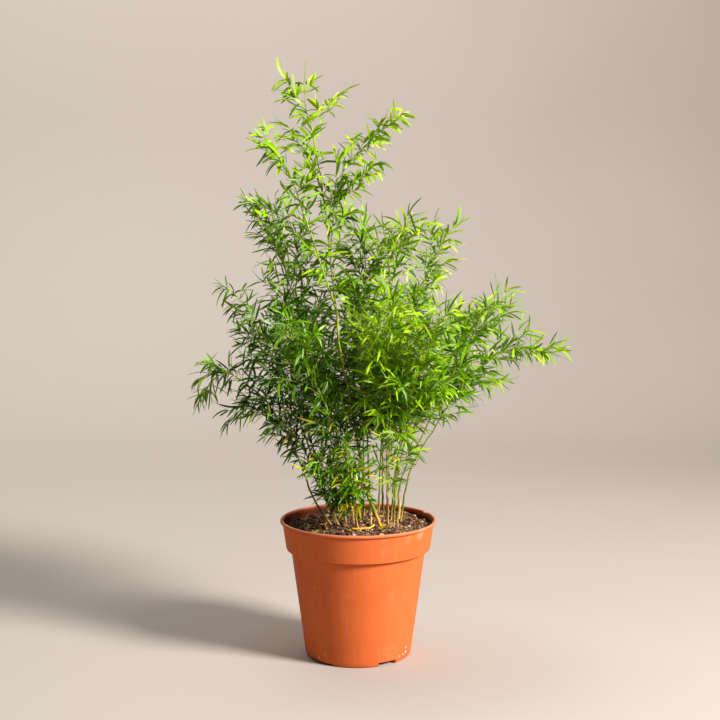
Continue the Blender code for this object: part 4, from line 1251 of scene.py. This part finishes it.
def straw_material():
    """Dry stems: pale straw on the stubs, and orange-yellow on the fallen pieces, paler toward their tips."""
    look = Look("dry straw", 0.25)
    kind, run, _, ring = look.tint()
    streaks = look.noise(260, 4, stretch=(2, 2, .5))
    stub = look.ramp(streaks, (.15, .42, .23, .085), (.5, .64, .40, .15), (.85, .80, .60, .32))
    orange = look.ramp(run, (0, .70, .30, .02), (.5, .78, .38, .03), (.72, .80, .52, .06),
                       (.90, .80, .72, .20), (1, .80, .74, .30))
    orange = look.mix(streaks * 0.35, orange, (.50, .20, .02))
    colour = look.mix(kind, stub, orange)
    colour = look.mix(ring * 0.40, colour, (.30, .14, .04))
    return look.finish(colour, (streaks, 0.5, 0.85), (streaks, 0.5, 0.0003))


def stage_material():
    """A pale cloth that pales to the left behind the object, as in the photo."""
    look = Look("pale stage", 0.1)
    cloth = look.ramp(look.noise(1.6, 5), (.3, .345, .300, .266), (.7, .378, .330, .294))
    x = look.value("SeparateXYZ", Vector=look.place())
    # Painted light: the cloth is paler toward the left, as if lit more there
    colour = look.mix((x * -0.55 + 0.5).clamped(), cloth, (.570, .515, .465))
    return look.finish(colour, (look.noise(6, 2), 0.85, 0.95))


# Stage, light and camera

def make_stage():
    """A pale floor that curves up into a plain backdrop behind the object."""
    bend_from, bend_r, steps = 1.1, 0.7, 12
    section = [(-2.5 + 0.5 * k, 0) for k in range(8)]
    for k in range(1, steps + 1):
        a = pi / 2 * k / steps
        section.append((bend_from + bend_r * sin(a), bend_r * (1 - cos(a))))
    section.append((bend_from + bend_r, 3))
    points = [(x, y, z) for y, z in section for x in (-3.5, 3.5)]
    faces = [(2 * k, 2 * k + 1, 2 * k + 3, 2 * k + 2) for k in range(len(section) - 1)]
    mesh = bpy.data.meshes.new("stage")
    mesh.from_pydata(points, [], faces)
    mesh.materials.append(stage_material())
    mesh.shade_smooth()
    stage = add_object("stage", mesh)
    stage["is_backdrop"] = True


def area_light(name, at, aim, size, power, colour):
    data = bpy.data.lights.new(name, "AREA")
    data.shape = "DISK"
    data.size = size
    data.energy = power
    data.color = colour
    light = add_object(name, data)
    light.location = at
    light.rotation_euler = (Vector(aim) - Vector(at)).to_track_quat("-Z", "Y").to_euler()


def light_scene():
    """A key light from the right, weak fill, a light on the backdrop and a dim room."""
    area_light("key", (1.58, -0.97, 1.20), (0, 0, 0.25), 0.62, 107, (1.0, 0.985, 0.95))
    area_light("fill", (-1.6, -1.6, 0.9), (0, 0, 0.25), 1.6, 0.8, (1.0, 0.98, 0.96))
    area_light("backdrop light", (-0.5, 0.7, 2.6), (-0.3, 1.8, 0.3), 1.6, 36, (1.0, 0.98, 0.95))
    world = bpy.data.worlds.new("soft room")
    world.use_nodes = True
    fill(world.node_tree.nodes["Background"], Color=(1.0, 0.98, 0.95), Strength=0.09)
    bpy.context.scene.world = world
    bpy.context.scene.view_settings.view_transform = "Standard"
    bpy.context.scene.view_settings.look = "None"


def place_camera():
    data = bpy.data.cameras.new("camera")
    data.lens = LENS
    data.sensor_width = SENSOR
    data.clip_start = 0.05
    camera = add_object("camera", data)
    camera.location = (CAMERA_AT[0] - FOOTPRINT_MIDDLE[0], CAMERA_AT[1] - FOOTPRINT_MIDDLE[1], CAMERA_AT[2])
    camera.rotation_euler = (pi / 2 - CAMERA_TILT, 0, 0)
    bpy.context.scene.camera = camera


def main():
    place_camera()
    make_stage()
    light_scene()
    leaf = leaf_material()
    looks = [leaf, stem_material()]
    for node in STEMS:
        grow_node(node, looks)
    make_pot()
    make_soil()
    make_crumbs()
    make_fibres()
    make_fallen_blades(leaf)
    make_dry_pieces()
    boxes = [[list(corner) for corner in box] for box in (CAD_BOX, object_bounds())]


main()
